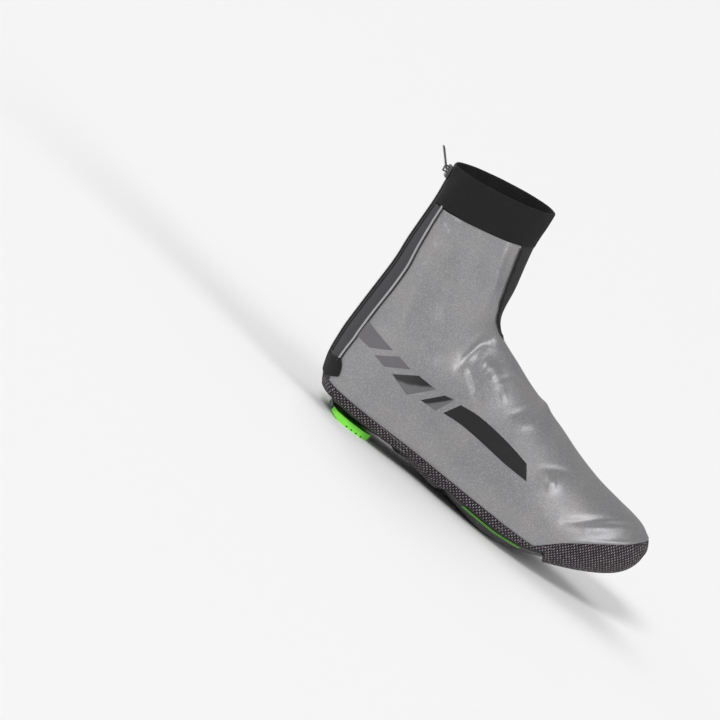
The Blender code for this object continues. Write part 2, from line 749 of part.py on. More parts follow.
def build_heel(parts, cutters):
    """W shaped tread with three prongs forward, the hard pad in its hollow, its screw."""
    tread_half = ((0.50, -0.16), (0.26, -0.36), (0.00, -0.50), (0.08, -0.82), (0.38, -1.00),
                  (0.78, -0.96), (1.00, -0.72), (0.92, -0.56), (0.56, -0.42), (0.60, -0.30),
                  (0.92, -0.14))
    pad_half = ((-0.02, -0.39), (0.26, -0.30), (0.45, -0.13))
    tread = prism("heel_tread", heel_outline(mirrored(tread_half)), 0.0, TREAD_HEIGHT)
    pad = prism("heel_pad", heel_outline(mirrored(pad_half)), TREAD_HEIGHT - PAD_HEIGHT,
                TREAD_HEIGHT)
    hinge = HEEL_SEAT_BACK - TREAD_LENGTH * 0.28
    runout = block("tread_runout", (-2 * TREAD_LENGTH, -TREAD_WIDTH, -TREAD_LENGTH),
                   (0.0, TREAD_WIDTH, 0.0))
    runout.matrix_world = (Matrix.Translation(world((hinge, 0.0, 0.0)))
                           @ Matrix.Rotation(TREAD_RUNOUT, 4, "Y"))
    place(runout, cutters)
    boolean(tread, runout)
    boolean(pad, runout)
    back = HEEL_SEAT_BACK - TREAD_LENGTH / 2
    for k in range(4):
        x = back + TREAD_LENGTH * (0.40 + 0.13 * k)
        boolean(tread, box_cutter(f"tread_groove_{k}", (x, -TREAD_WIDTH, -GROOVE_DEPTH),
                                  (x + GROOVE_WIDTH, TREAD_WIDTH, GROOVE_DEPTH), cutters))
    screw_x = back + 0.17 * TREAD_LENGTH
    seat = TREAD_HEIGHT - SCREW_HEAD
    pocket = prism("screw_pocket", circle(screw_x, 0.0, SCREW_RADIUS + CLEARANCE),
                   -TREAD_HEIGHT, seat)
    boolean(pad, place(pocket, cutters))
    screw = prism("heel_screw", circle(screw_x, 0.0, SCREW_RADIUS),
                  seat - CLEARANCE - SCREW_HEAD, seat - CLEARANCE)
    place(tread, parts, "lime")
    place(pad, parts, "pad")
    place(screw, parts, "steel")


def build_inserts(parts, cutters):
    """Threaded steel inserts for the cleat bolts."""
    for name, (x, y) in bolt_places().items():
        base = insert_base(x)
        insert = prism("insert_" + name, circle(x, y, BOLT_RADIUS), base, base + BOLT_DEPTH)
        hole = prism("thread_" + name, circle(x, y, BOLT_HOLE), base - BOLT_DEPTH,
                     base + 0.8 * BOLT_DEPTH)
        boolean(insert, place(hole, cutters))
        place(insert, parts, "steel")


def slider_frame():
    """Place of the slider: local X points out of the back, local Z up the shaft."""
    row = TOP_ROW - 0.40
    base = inside(row, 0.0, -1, -2 * CLEARANCE - ZIP_THICKNESS)
    up = Vector(skin(row + 0.3, 0.0, -1) - skin(row - 0.3, 0.0, -1))
    up.y = 0.0
    up.normalize()
    out = Vector((-up.z, 0.0, up.x))
    frame = Matrix((out, Vector((0.0, -1.0, 0.0)), up)).transposed().to_4x4()
    frame.translation = Vector(world((base[0], 0.0, base[2])))
    return frame


def build_zip_slider(parts, cutters):
    """Slider on the zip, and its pull tab hinged in the slider's bridge."""
    frame = slider_frame()
    half = SLIDER_WIDTH / 2
    body = block("zip_slider", (0.0, -half, -0.62 * SLIDER_HEIGHT),
                 (SLIDER_THICKNESS, half, 0.38 * SLIDER_HEIGHT))
    bevel = body.modifiers.new("round", "BEVEL")
    bevel.width = 0.0006
    bevel.segments = 2
    window_half = BRIDGE_WINDOW * 0.72
    bridge = block("slider_bridge",
                   (SLIDER_THICKNESS / 2, -BRIDGE_WIDTH / 2, -window_half - BRIDGE_BAR),
                   (SLIDER_THICKNESS + BRIDGE_WINDOW + BRIDGE_BAR, BRIDGE_WIDTH / 2,
                    window_half + BRIDGE_BAR))
    window = block("bridge_window", (SLIDER_THICKNESS, -BRIDGE_WIDTH, -window_half),
                   (SLIDER_THICKNESS + BRIDGE_WINDOW, BRIDGE_WIDTH, window_half))
    boolean(body, place(bridge, cutters), "UNION")
    boolean(body, place(window, cutters))
    for obj in (body, bridge, window):
        obj.matrix_world = frame
    place(body, parts, "steel")

    thick = PULL_THICKNESS / 2
    plate = block("zip_pull", (-thick, -PULL_WIDTH / 2, -thick),
                  (thick, PULL_WIDTH / 2, PULL_LENGTH))
    edges = plate.modifiers.new("round", "BEVEL")
    edges.width = 0.0004
    edges.segments = 1
    gap = 0.0004
    reach = math.hypot(BRIDGE_WINDOW / 2 + BRIDGE_BAR, window_half + BRIDGE_BAR) + 2 * gap
    eye = block("pull_eye", (-PULL_WIDTH, -BRIDGE_WIDTH / 2 - gap, thick),
                (PULL_WIDTH, BRIDGE_WIDTH / 2 + gap, reach))
    boolean(plate, place(eye, cutters))
    pivot = bpy.data.objects.new("pull_pivot", None)
    parts.objects.link(pivot)
    axis_x = SLIDER_THICKNESS + BRIDGE_WINDOW / 2
    pivot.matrix_world = frame @ Matrix.Translation((axis_x, 0.0, 0.0))
    for obj in (plate, eye):
        obj.matrix_world = pivot.matrix_world @ Matrix.Rotation(PULL_REST, 4, "Y")
    place(plate, parts, "steel")


def main():
    clear_scene()
    parts = make_collection("cycling_overshoe")
    cutters = make_collection("cutters")
    build_upper(parts)
    build_collar_band(parts)
    build_under_panel(parts, cutters)
    build_heel_patch(parts, cutters)
    build_zip_chain(parts)
    build_outsole(parts, cutters)
    build_insole(parts)
    build_foxing(parts)
    build_heel(parts, cutters)
    build_inserts(parts, cutters)
    build_zip_slider(parts, cutters)


main()
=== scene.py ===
import math

import bmesh
import bpy
import numpy as np
from mathutils import Matrix, Vector
from mathutils.bvhtree import BVHTree


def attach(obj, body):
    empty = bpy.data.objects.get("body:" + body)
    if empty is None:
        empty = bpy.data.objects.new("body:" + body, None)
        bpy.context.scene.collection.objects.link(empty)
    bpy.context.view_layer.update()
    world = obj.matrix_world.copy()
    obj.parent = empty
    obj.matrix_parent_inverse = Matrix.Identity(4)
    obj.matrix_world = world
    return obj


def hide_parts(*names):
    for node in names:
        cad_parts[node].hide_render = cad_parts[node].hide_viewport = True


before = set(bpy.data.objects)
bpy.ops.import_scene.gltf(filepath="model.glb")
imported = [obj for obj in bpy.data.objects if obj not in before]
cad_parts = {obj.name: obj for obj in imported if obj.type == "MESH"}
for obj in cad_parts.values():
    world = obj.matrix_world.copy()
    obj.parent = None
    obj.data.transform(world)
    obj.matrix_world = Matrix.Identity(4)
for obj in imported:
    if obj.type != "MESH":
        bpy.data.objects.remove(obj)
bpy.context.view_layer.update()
print("frame loaded")

shoe = {  # the overshoe's own sizes, in metres
    "footLength": 0.300,
    "ballWidth": 0.102,
    "heelWidth": 0.070,
    "collarWidth": 0.066,
    "instepHeight": 0.110,
    "shaftRise": 0.108,
    "ankleSwing": math.radians(9),
    "swingRows": (13.0, 18.0),
    "swingCentre": (0.207, 0.955),
    "heelSeatBack": 0.045,
    "wall": 0.0018,
    "seamHeight": 0.020,
    "hemHeight": 0.0125,
    "strapRear": 0.085,
    "strapFront": 0.119,
    "cleatFront": 0.244,
    "patchTop": 0.0355,
    "patchHalfWidth": 0.024,
    "soleDepth": 0.0036,
    "soleEdge": 0.014,
    "treadHeight": 0.0056,
    "bandRow": 20.0,
    "topRow": 22.0,
}

# front x, front z, back x, back z, outer, inner, offset, widest, front round, back round, girth
sectionRows = (
    (1.000, 0.505, 1.000, 0.505, 0.00, 0.00, 0.14, 0.50, 2.00, 2.0, "ball"),
    (0.992, 0.605, 0.992, 0.409, 0.32, 0.33, 0.14, 0.46, 2.00, 2.1, "ball"),
    (0.968, 0.672, 0.968, 0.327, 0.56, 0.61, 0.13, 0.42, 2.05, 2.3, "ball"),
    (0.926, 0.710, 0.926, 0.250, 0.74, 0.80, 0.12, 0.40, 2.05, 2.5, "ball"),
    (0.860, 0.734, 0.860, 0.164, 0.87, 0.91, 0.10, 0.37, 2.00, 2.7, "ball"),
    (0.780, 0.766, 0.780, 0.082, 0.96, 0.97, 0.07, 0.34, 1.95, 2.9, "ball"),
    (0.690, 0.826, 0.690, 0.000, 1.01, 0.98, 0.05, 0.30, 1.88, 3.0, "ball"),
    (0.600, 0.904, 0.593, -0.036, 1.01, 0.91, 0.04, 0.27, 1.82, 3.1, "ball"),
    (0.517, 0.968, 0.493, -0.012, 0.95, 0.81, 0.04, 0.26, 1.82, 3.1, "ball"),
    (0.450, 1.025, 0.393, 0.034, 0.87, 0.73, 0.04, 0.26, 1.82, 3.0, "ball"),
    (0.398, 1.077, 0.293, 0.058, 1.16, 1.02, 0.03, 0.27, 1.86, 2.9, "heel"),
    (0.358, 1.115, 0.200, 0.024, 1.09, 1.01, 0.02, 0.28, 1.90, 2.9, "heel"),
    (0.330, 1.146, 0.110, 0.018, 1.04, 1.00, 0.01, 0.29, 1.92, 2.8, "heel"),
    (0.310, 1.180, 0.041, 0.094, 1.01, 0.99, 0.00, 0.31, 1.96, 2.4, "heel"),
    (0.292, 1.227, 0.010, 0.264, 0.99, 0.98, 0.00, 0.34, 2.00, 2.2, "heel"),
    (0.275, 1.287, 0.000, 0.454, 0.97, 0.97, 0.00, 0.38, 2.04, 2.15, "heel"),
    (0.258, 1.366, -0.005, 0.645, 0.97, 0.97, 0.00, 0.42, 2.08, 2.1, "heel"),
    (0.241, 1.458, -0.015, 0.836, 0.96, 0.96, 0.00, 0.45, 2.10, 2.1, "heel"),
    (0.223, 1.556, -0.030, 1.028, 1.01, 1.01, 0.00, 0.47, 2.10, 2.1, "collar"),
    (0.205, 1.657, -0.050, 1.213, 0.99, 0.99, 0.00, 0.48, 2.10, 2.1, "collar"),
    (0.180, 1.808, -0.077, 1.507, 0.98, 0.98, 0.00, 0.48, 2.10, 2.1, "collar"),
    (0.166, 1.940, -0.094, 1.650, 0.99, 0.99, 0.00, 0.48, 2.10, 2.1, "collar"),
    (0.150, 2.074, -0.112, 1.791, 1.00, 1.00, 0.00, 0.48, 2.10, 2.1, "collar"),
)
seamRise = ((-0.20, 0.0), (0.62, 0.0), (0.70, 0.0), (0.725, 0.06), (0.76, 0.145), (0.81, 0.23),
            (0.86, 0.305), (0.91, 0.375), (0.95, 0.435), (0.98, 0.463), (1.05, 0.468))
soleRise = ((-0.20, 0.010), (0.10, 0.010), (0.35, 0.010), (0.60, 0.000), (0.69, 0.020),
            (0.78, 0.090), (0.86, 0.170), (0.93, 0.255), (0.97, 0.330), (1.05, 0.400))

# Soft creases, troughs and bulges: side, height mm, half width mm, then (row, share) along it.
creases = (
    (-1, 0.45, 2.2, ((20.25, 0.13), (20.2, 0.20), (20.15, 0.30))),  # fan under the band
    (-1, 0.5, 2.4, ((20.05, 0.14), (19.9, 0.24), (19.75, 0.34))),
    (-1, 0.55, 2.4, ((19.85, 0.14), (19.6, 0.22), (19.35, 0.31))),
    (-1, 0.5, 2.6, ((19.6, 0.15), (19.3, 0.20), (19.0, 0.25))),
    (-1, -0.4, 1.9, ((20.12, 0.14), (20.0, 0.24), (19.95, 0.32))),
    (-1, -0.4, 1.9, ((19.95, 0.14), (19.72, 0.24), (19.5, 0.32))),
    (-1, -0.4, 2.0, ((19.7, 0.15), (19.4, 0.21), (19.1, 0.27))),
    (-1, -2.6, 9.0, ((20.0, 0.40), (19.0, 0.43), (17.9, 0.48), (16.5, 0.53), (15.2, 0.585))),  # valley
    (-1, 2.2, 6.5, ((19.6, 0.20), (17.6, 0.27), (15.8, 0.35), (14.9, 0.42))),
    (-1, 2.1, 5.5, ((20.1, 0.63), (18.7, 0.675), (17.0, 0.73))),
    (-1, -2.2, 4.2, ((12.2, 0.715), (12.65, 0.79), (13.05, 0.842), (12.9, 0.895))),  # ankle crease
    (-1, -0.8, 8.0, ((13.6, 0.60), (13.2, 0.68), (13.4, 0.78))),
    (-1, 2.4, 7.0, ((11.6, 0.80), (10.95, 0.815), (10.3, 0.79))),
    (-1, -1.3, 3.2, ((11.95, 0.755), (10.9, 0.715), (10.15, 0.67))),
    (-1, -0.5, 1.8, ((10.2, 0.817), (10.0, 0.86), (9.85, 0.90))),
    (-1, 0.9, 6.0, ((9.7, 0.76), (9.5, 0.80))),
    (-1, -0.6, 2.6, ((8.9, 0.74), (8.65, 0.792), (8.3, 0.892), (8.1, 0.96))),
    (-1, 0.7, 4.5, ((8.45, 0.742), (7.95, 0.833))),
    (-1, 1.5, 6.0, ((7.85, 0.95), (7.75, 1.0))),
    (-1, -1.0, 9.0, ((8.7, 0.93), (8.6, 1.0))),
    (-1, -0.9, 6.0, ((7.35, 0.90), (7.25, 1.0))),
    (1, 1.5, 6.0, ((7.85, 0.95), (7.75, 1.0))),
    (-1, 1.6, 11.0, ((0.9, 0.62), (1.6, 0.78), (2.0, 0.95))),
    (1, 1.6, 11.0, ((0.9, 0.62), (1.6, 0.78), (2.0, 0.95))),
    (-1, 2.0, 6.0, ((6.75, 0.66), (6.45, 0.70))),  # knuckle light
    (-1, -0.7, 2.4, ((7.0, 0.70), (6.6, 0.755), (6.2, 0.80))),
    (-1, -1.2, 3.0, ((5.6, 0.57), (5.2, 0.615), (4.65, 0.69), (3.85, 0.785), (3.4, 0.85))),  # toe fold
    (-1, 1.5, 4.6, ((4.9, 0.60), (4.2, 0.68), (3.5, 0.77))),
    (-1, 0.6, 7.0, ((12.2, 0.33), (11.6, 0.37))),
    (-1, 0.7, 9.0, ((9.6, 0.34), (8.8, 0.38))),
    (-1, 0.45, 2.2, ((9.38, 0.565), (9.32, 0.58))),
    (-1, -0.5, 7.0, ((11.0, 0.46), (9.8, 0.45), (8.4, 0.48))),
    (1, -1.7, 9.0, ((20.0, 0.42), (18.2, 0.46), (16.4, 0.52), (15.0, 0.57))),
    (1, 0.9, 8.0, ((19.3, 0.24), (17.4, 0.30), (15.6, 0.39))),
    (1, 0.5, 2.2, ((20.1, 0.14), (19.9, 0.22), (19.8, 0.30))),
    (1, -0.5, 1.8, ((20.0, 0.14), (19.7, 0.24), (19.5, 0.32))),
    (1, -1.4, 4.2, ((12.0, 0.70), (12.6, 0.78), (12.9, 0.86))),
    (1, 1.2, 7.0, ((11.2, 0.78), (10.4, 0.80))),
    (1, -0.6, 3.2, ((9.6, 0.70), (9.2, 0.78), (8.9, 0.86))),
    (1, 0.9, 6.0, ((8.2, 0.72), (7.6, 0.78))),
    (1, -0.7, 3.4, ((7.2, 0.62), (6.7, 0.70), (6.4, 0.78))),
    (1, 0.9, 6.5, ((6.0, 0.62), (5.5, 0.66))),
    (1, -0.6, 3.0, ((5.2, 0.58), (4.4, 0.68), (3.7, 0.78))),
    (1, 0.7, 8.0, ((10.5, 0.36), (9.2, 0.40))),
)


def smoothStep(t):
    t = np.clip(t, 0.0, 1.0)
    return t * t * (3 - 2 * t)


def softRidge(gap, high, middle, wide):
    # a soft bump across a distance, highest at its middle
    return high * np.exp(-((gap - middle) / wide) ** 2)


def heightOf(share):
    return min(share, 1.0) * shoe["instepHeight"] + max(share - 1.0, 0.0) * shoe["shaftRise"]


def sectionValues():
    half = {"ball": shoe["ballWidth"] / 2, "heel": shoe["heelWidth"] / 2, "collar": shoe["collarWidth"] / 2}
    length = shoe["footLength"]
    return np.array([
        (r[0] * length, heightOf(r[1]), r[2] * length, heightOf(r[3]), r[4] * half[r[10]],
         r[5] * half[r[10]], r[6] * shoe["ballWidth"] / 2, r[7], r[8], r[9]) for r in sectionRows])


sections = sectionValues()


def sectionAt(s):
    last = len(sections) - 1
    s = min(max(s, 0.0), float(last))
    i = min(int(s), last - 1)
    t = s - i
    b, c = sections[i], sections[i + 1]
    slopeIn = (c - sections[i - 1]) / 2 if i > 0 else c - b
    slopeOut = (sections[i + 2] - b) / 2 if i + 2 <= last else c - b
    return ((2 * t**3 - 3 * t**2 + 1) * b + (t**3 - 2 * t**2 + t) * slopeIn
            + (3 * t**2 - 2 * t**3) * c + (t**3 - t**2) * slopeOut)


def swingPoint(s, x, z):
    low, high = shoe["swingRows"]
    angle = shoe["ankleSwing"] * float(smoothStep((s - low) / (high - low)))
    cx = shoe["swingCentre"][0] * shoe["footLength"]
    cz = shoe["swingCentre"][1] * shoe["instepHeight"]
    dx, dz = x - cx, z - cz
    return (cx + dx * math.cos(angle) + dz * math.sin(angle),
            cz + dz * math.cos(angle) - dx * math.sin(angle))


def halfSection(s, side, steps=80):
    fx, fz, bx, bz, outer, inner, offset, widest, frontRound, backRound = sectionAt(s)
    width = max(outer if side < 0 else inner, 0.0)
    fx, fz = swingPoint(s, fx, fz)
    bx, bz = swingPoint(s, bx, bz)
    turn = np.linspace(0, math.pi / 2, steps)
    back = turn[::-1][1:]
    t = np.concatenate([widest * (1 - np.cos(turn).clip(0) ** (2 / backRound)),
                        widest + (1 - widest) * np.cos(back).clip(0) ** (2 / frontRound)])
    y = width * np.concatenate([np.sin(turn) ** (2 / backRound), np.sin(back) ** (2 / frontRound)])
    x = bx + (fx - bx) * t - shoe["heelSeatBack"]
    return np.column_stack([x, side * y + offset, bz + (fz - bz) * t])


def runAlong(line):
    # distance along a line at each of its points
    return np.concatenate([[0], np.cumsum(np.linalg.norm(np.diff(line, axis=0), axis=1))])


def pointAt(distance, run, line):
    return np.array([np.interp(distance, run, line[:, k]) for k in range(3)])


def shareAlong(line):
    run = runAlong(line)
    return run / max(run[-1], 1e-9)


rowStep = 0.05
shareCount = 161
shaftSide = (300, 80)  # a fine place half way up the side of the shaft
fineRows = np.arange(0.0, shoe["topRow"] + 1e-6, rowStep)
fineShares = np.linspace(0.0, 1.0, shareCount)


def rise(table, x):
    shares, values = zip(*table)
    return np.interp((x + shoe["heelSeatBack"]) / shoe["footLength"], shares, values) * shoe["instepHeight"]


def buildSkin():
    # fine lookup of places, outward directions and seam shares for each side
    places, outs, arcs = {}, {}, {}
    for side in (-1, 1):
        grid = np.zeros((len(fineRows), shareCount, 3))
        for i, s in enumerate(fineRows):
            line = halfSection(s, side)
            share = shareAlong(line)
            for k in range(3):
                grid[i, :, k] = np.interp(fineShares, share, line[:, k])
        normal = np.cross(np.gradient(grid, axis=0), np.gradient(grid, axis=1))
        normal /= np.linalg.norm(normal, axis=-1, keepdims=True) + 1e-15
        if normal[shaftSide][1] * side < 0:
            normal = -normal
        normal[:, (0, -1), 1] = 0.0
        normal[0] = (1.0, 0.0, 0.0)
        normal /= np.linalg.norm(normal, axis=-1, keepdims=True) + 1e-15
        places[side], outs[side] = grid, normal
        arcs[side] = np.linalg.norm(np.diff(grid, axis=1), axis=-1).sum(axis=1)
    return places, outs, arcs


skinPlaces, skinOuts, skinArcs = buildSkin()


def lookUp(table, s, q):
    a = np.clip(np.asarray(s, float) / rowStep, 0, len(fineRows) - 1.0001)
    b = np.clip(np.asarray(q, float) * (shareCount - 1), 0, shareCount - 1.0001)
    i, k = a.astype(int), b.astype(int)
    fa, fb = a - i, b - k
    if table.ndim == 3:
        fa, fb = fa[..., None], fb[..., None]
    return ((table[i, k] * (1 - fb) + table[i, k + 1] * fb) * (1 - fa)
            + (table[i + 1, k] * (1 - fb) + table[i + 1, k + 1] * fb) * fa)


def creaseField(side):
    # height that the creases add along the outward direction at each fine place
    points = skinPlaces[side]
    field = np.zeros(points.shape[:2])
    for owner, high, wide, path in creases:
        if owner != side:
            continue
        rowsAlong, sharesAlong = np.array(path).T
        t = np.linspace(0, 1, 24)
        knots = np.linspace(0, 1, len(path))
        line = lookUp(points, np.interp(t, knots, rowsAlong), np.interp(t, knots, sharesAlong))
        gap = np.full(field.shape, 1.0)
        at = np.zeros(field.shape)
        for place, mark in zip(line, t):
            d = np.linalg.norm(points - place, axis=-1)
            nearer = d < gap
            gap[nearer] = d[nearer]
            at[nearer] = mark
        fade = 0.45 + 0.55 * smoothStep(np.minimum(at, 1 - at) * 4)
        field += fade * softRidge(gap, 0.001 * high, 0.0, 0.001 * wide)
    return field


def matchSides(heights, columns=12):
    # both sides get one height at the front and back lines, and blend into it over a few columns
    for edge in (0, -1):
        shared = (heights[-1][:, edge] + heights[1][:, edge]) / 2
        for own in heights.values():
            gap = shared - own[:, edge]
            for step in range(1, columns):
                column = step if edge == 0 else shareCount - 1 - step
                own[:, column] += gap * (1 - step / columns)
            own[:, edge] = shared
    return heights


creaseHeights = matchSides({side: creaseField(side) for side in (-1, 1)})
print("skin ready")


def cloth(s, q, side, proud=0.0, crease=1.0):
    # places on the worn cloth, proud of its outer face by so many metres
    s, q, side, proud = np.broadcast_arrays(s, q, side, proud)
    out = np.zeros(s.shape + (3,))
    for one in (-1, 1):
        m = side == one
        if m.any():
            lift = proud[m] + crease * lookUp(creaseHeights[one], s[m], q[m])
            out[m] = lookUp(skinPlaces[one], s[m], q[m]) + lookUp(skinOuts[one], s[m], q[m]) * lift[:, None]
    return out


def arcAt(s, side):
    return np.interp(s, fineRows, skinArcs[side])


def arcsAt(s, side):
    return np.where(side < 0, arcAt(s, -1), arcAt(s, 1))


def columnsOf(count):
    # columns from the outer side over the middle to the inner side, and the side of each
    k = np.arange(-count, count + 1)
    return k, np.where(k < 0, -1, 1)


def seamShare(s, side, shift=0.0):
    line = lookUp(skinPlaces[side], np.full(400, s), np.linspace(0, 1, 400))
    above = line[:, 2] - (rise(seamRise, line[:, 0]) + shoe["seamHeight"] + shift)
    if above[0] >= 0:
        return 0.0
    crossing = np.nonzero(above >= 0)[0]
    if len(crossing) == 0:
        return 1.0
    k = crossing[0]
    return (k - 1 + above[k - 1] / (above[k - 1] - above[k])) / 399


def rowWhere(test, low, high):
    for _ in range(36):
        middle = (low + high) / 2
        low, high = (low, middle) if test(middle) else (middle, high)
    return high


seamToe = rowWhere(lambda s: seamShare(s, -1) < 1.0, 0.6, 4.0)
seamHeel = rowWhere(lambda s: seamShare(s, -1) <= 0.0, 11.0, 15.0)


def evenRows(start, end, spacing):
    rows = fineRows[(fineRows > start) & (fineRows < end)]
    rows = np.concatenate([[start], rows, [end]])
    line = cloth(rows[:, None], np.linspace(0.05, 1, 8)[None, :], -1, crease=0.0)
    steps = np.linalg.norm(np.diff(line, axis=0), axis=-1).max(axis=1)
    run = np.concatenate([[0], np.cumsum(steps)])
    count = max(int(run[-1] / spacing), 3)
    return np.interp(np.linspace(0, run[-1], count + 1), run, rows)


def makeMesh(name, points, faces, mats, indices=None, uvs=None, masks=None, flat=False):
    bm = bmesh.new()
    verts = [bm.verts.new(p) for p in points]
    uvLayer = bm.loops.layers.uv.new("cloth") if uvs is not None else None
    maskLayer = bm.loops.layers.uv.new("panels") if masks is not None else None
    for n, face in enumerate(faces):
        try:
            made = bm.faces.new([verts[i] for i in face])
        except ValueError:
            continue
        made.smooth = not flat
        made.material_index = indices[n] if indices is not None else 0
        for loop, i in zip(made.loops, face):
            if uvLayer:
                loop[uvLayer].uv = uvs[i]
            if maskLayer:
                loop[maskLayer].uv = masks[i]
    bmesh.ops.remove_doubles(bm, verts=bm.verts, dist=1e-5)
    bmesh.ops.dissolve_degenerate(bm, edges=bm.edges, dist=1e-6)
    loose = [v for v in bm.verts if not v.link_faces]
    bmesh.ops.delete(bm, geom=loose, context="VERTS")
    bmesh.ops.recalc_face_normals(bm, faces=bm.faces)
    mesh = bpy.data.meshes.new(name)
    bm.to_mesh(mesh)
    bm.free()
    if not flat:
        mesh.set_sharp_from_angle(angle=math.radians(50))
    for mat in mats:
        mesh.materials.append(mat)
    obj = bpy.data.objects.new(name, mesh)
    bpy.context.scene.collection.objects.link(obj)
    return obj


def wallBetween(name, outer, inner, mats, innerIndex=0, uvs=None, masks=None, endIndex=0):
    # closed body between two grids of the same size
    rows, cols = outer.shape[:2]
    base = rows * cols
    points = np.concatenate([outer.reshape(-1, 3), inner.reshape(-1, 3)])
    faces, indices = [], []

    def at(i, k):
        return i * cols + k

    def both(values):
        return None if values is None else np.concatenate([values.reshape(-1, 2)] * 2)

    closed = np.linalg.norm(outer[:, 0] - outer[:, -1], axis=1) < 1e-5
    for i in range(rows - 1):
        for k in range(cols - 1):
            faces.append((at(i, k), at(i, k + 1), at(i + 1, k + 1), at(i + 1, k)))
            indices.append(0)
            around = at(i, k), at(i + 1, k), at(i + 1, k + 1), at(i, k + 1)
            faces.append(tuple(base + corner for corner in around))
            indices.append(innerIndex)
        if not (closed[i] and closed[i + 1]):
            for k in (0, cols - 1):
                faces.append((at(i, k), base + at(i, k), base + at(i + 1, k), at(i + 1, k)))
                indices.append(0)
    for i in (0, rows - 1):
        for k in range(cols - 1):
            if np.linalg.norm(outer[i, k] - outer[i, k + 1]) > 1e-5:
                faces.append((at(i, k), base + at(i, k), base + at(i, k + 1), at(i, k + 1)))
                indices.append(endIndex if i else 0)
    return makeMesh(name, points, faces, mats, indices, both(uvs), both(masks))


def tube(points, radius, sides=6, ups=None, flatten=1.0):
    # points and faces of a closed tube along a line
    points = np.asarray(points, float)
    ahead = np.gradient(points, axis=0)
    ahead /= np.linalg.norm(ahead, axis=1, keepdims=True) + 1e-15
    up = np.asarray(ups, float) if ups is not None else np.tile((0.0, 0.0, 1.0), (len(points), 1))
    across = np.cross(ahead, up)
    across /= np.linalg.norm(across, axis=1, keepdims=True) + 1e-15
    up = np.cross(across, ahead)
    turn = np.arange(sides) * 2 * math.pi / sides
    ring = (points[:, None] + radius * (np.cos(turn)[None, :, None] * across[:, None]
                                        + flatten * np.sin(turn)[None, :, None] * up[:, None]))
    verts = ring.reshape(-1, 3)
    faces = []
    for i in range(len(points) - 1):
        for k in range(sides):
            n = (k + 1) % sides
            faces.append((i * sides + k, i * sides + n, (i + 1) * sides + n, (i + 1) * sides + k))
    faces.append(tuple(range(sides))[::-1])
    faces.append(tuple((len(points) - 1) * sides + k for k in range(sides)))
    return verts, faces


def joined(name, parts, mats, flat=False):
    points, faces = [], []
    start = 0
    for verts, polys in parts:
        points.append(verts)
        faces += [tuple(start + i for i in face) for face in polys]
        start += len(verts)
    points = np.concatenate(points)
    mesh = bpy.data.meshes.new(name)
    mesh.from_pydata(points.tolist(), [], faces)
    mesh.validate()
    for mat in mats:
        mesh.materials.append(mat)
    if not flat:
        mesh.shade_smooth()
        mesh.set_sharp_from_angle(angle=math.radians(50))
    obj = bpy.data.objects.new(name, mesh)
    bpy.context.scene.collection.objects.link(obj)
    return obj


def stitchRun(line, normals, pitch, length, radius, lean=0.0):
    # a row of thread stitches lying on a line, each a short bulged tube
    line = np.asarray(line, float)
    run = runAlong(line)
    stitches = []
    for middle in np.arange(pitch / 2, run[-1] - pitch / 2, pitch):
        place = pointAt(middle, run, line)
        outward = pointAt(middle, run, normals)
        ahead = pointAt(middle + 0.0005, run, line) - place
        ahead /= np.linalg.norm(ahead) + 1e-15
        if lean:
            ahead = ahead * math.cos(lean) + np.cross(outward, ahead) * math.sin(lean)
        t = np.linspace(-1, 1, 5)
        path = place + np.outer(t, ahead) * length / 2 + np.outer(0.5 - t**2, outward) * radius
        stitches.append(tube(path, radius, 5, np.tile(outward, (5, 1))))
    return stitches


def put(obj, body, slotName, *nodes):
    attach(obj, body)
    if nodes:
        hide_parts(*nodes)
    return obj


# Materials: small helpers, shared effects, then one material for each finish


def nodeGroup(name, inputs, outputs):
    tree = bpy.data.node_groups.new(name, "ShaderNodeTree")
    for label, kind, value in inputs:
        made = tree.interface.new_socket(label, in_out="INPUT", socket_type=kind)
        if value is not None:
            made.default_value = value
    for label, kind in outputs:
        tree.interface.new_socket(label, in_out="OUTPUT", socket_type=kind)
    return tree, tree.nodes.new("NodeGroupInput"), tree.nodes.new("NodeGroupOutput")


def mathNode(tree, operation, a, b=None, clamp=False):
    node = tree.nodes.new("ShaderNodeMath")
    node.operation = operation
    node.use_clamp = clamp
    for i, value in enumerate((a, b)):
        if value is None:
            continue
        if isinstance(value, (int, float)):
            node.inputs[i].default_value = value
        else:
            tree.links.new(value, node.inputs[i])
    return node.outputs[0]


def ramp(tree, value, low, high):
    node = tree.nodes.new("ShaderNodeMapRange")
    node.interpolation_type = "SMOOTHSTEP"
    for label, number in (("From Min", low), ("From Max", high)):
        if isinstance(number, (int, float)):
            node.inputs[label].default_value = number
        else:
            tree.links.new(number, node.inputs[label])
    tree.links.new(value, node.inputs["Value"])
    return node.outputs["Result"]


def noise(tree, vector, scale, detail=2.0, rough=0.5):
    node = tree.nodes.new("ShaderNodeTexNoise")
    node.inputs["Detail"].default_value = detail
    node.inputs["Roughness"].default_value = rough
    if isinstance(scale, (int, float)):
        node.inputs["Scale"].default_value = scale
    else:
        tree.links.new(scale, node.inputs["Scale"])
    tree.links.new(vector, node.inputs["Vector"])
    return node.outputs["Fac"]


def mixColour(tree, share, a, b):
    node = tree.nodes.new("ShaderNodeMix")
    node.data_type = "RGBA"
    for socket, value in ((node.inputs[0], share), (node.inputs[6], a), (node.inputs[7], b)):
        if isinstance(value, (int, float)):
            socket.default_value = value
        elif isinstance(value, tuple):
            socket.default_value = (*value, 1.0)
        else:
            tree.links.new(value, socket)
    return node.outputs[2]


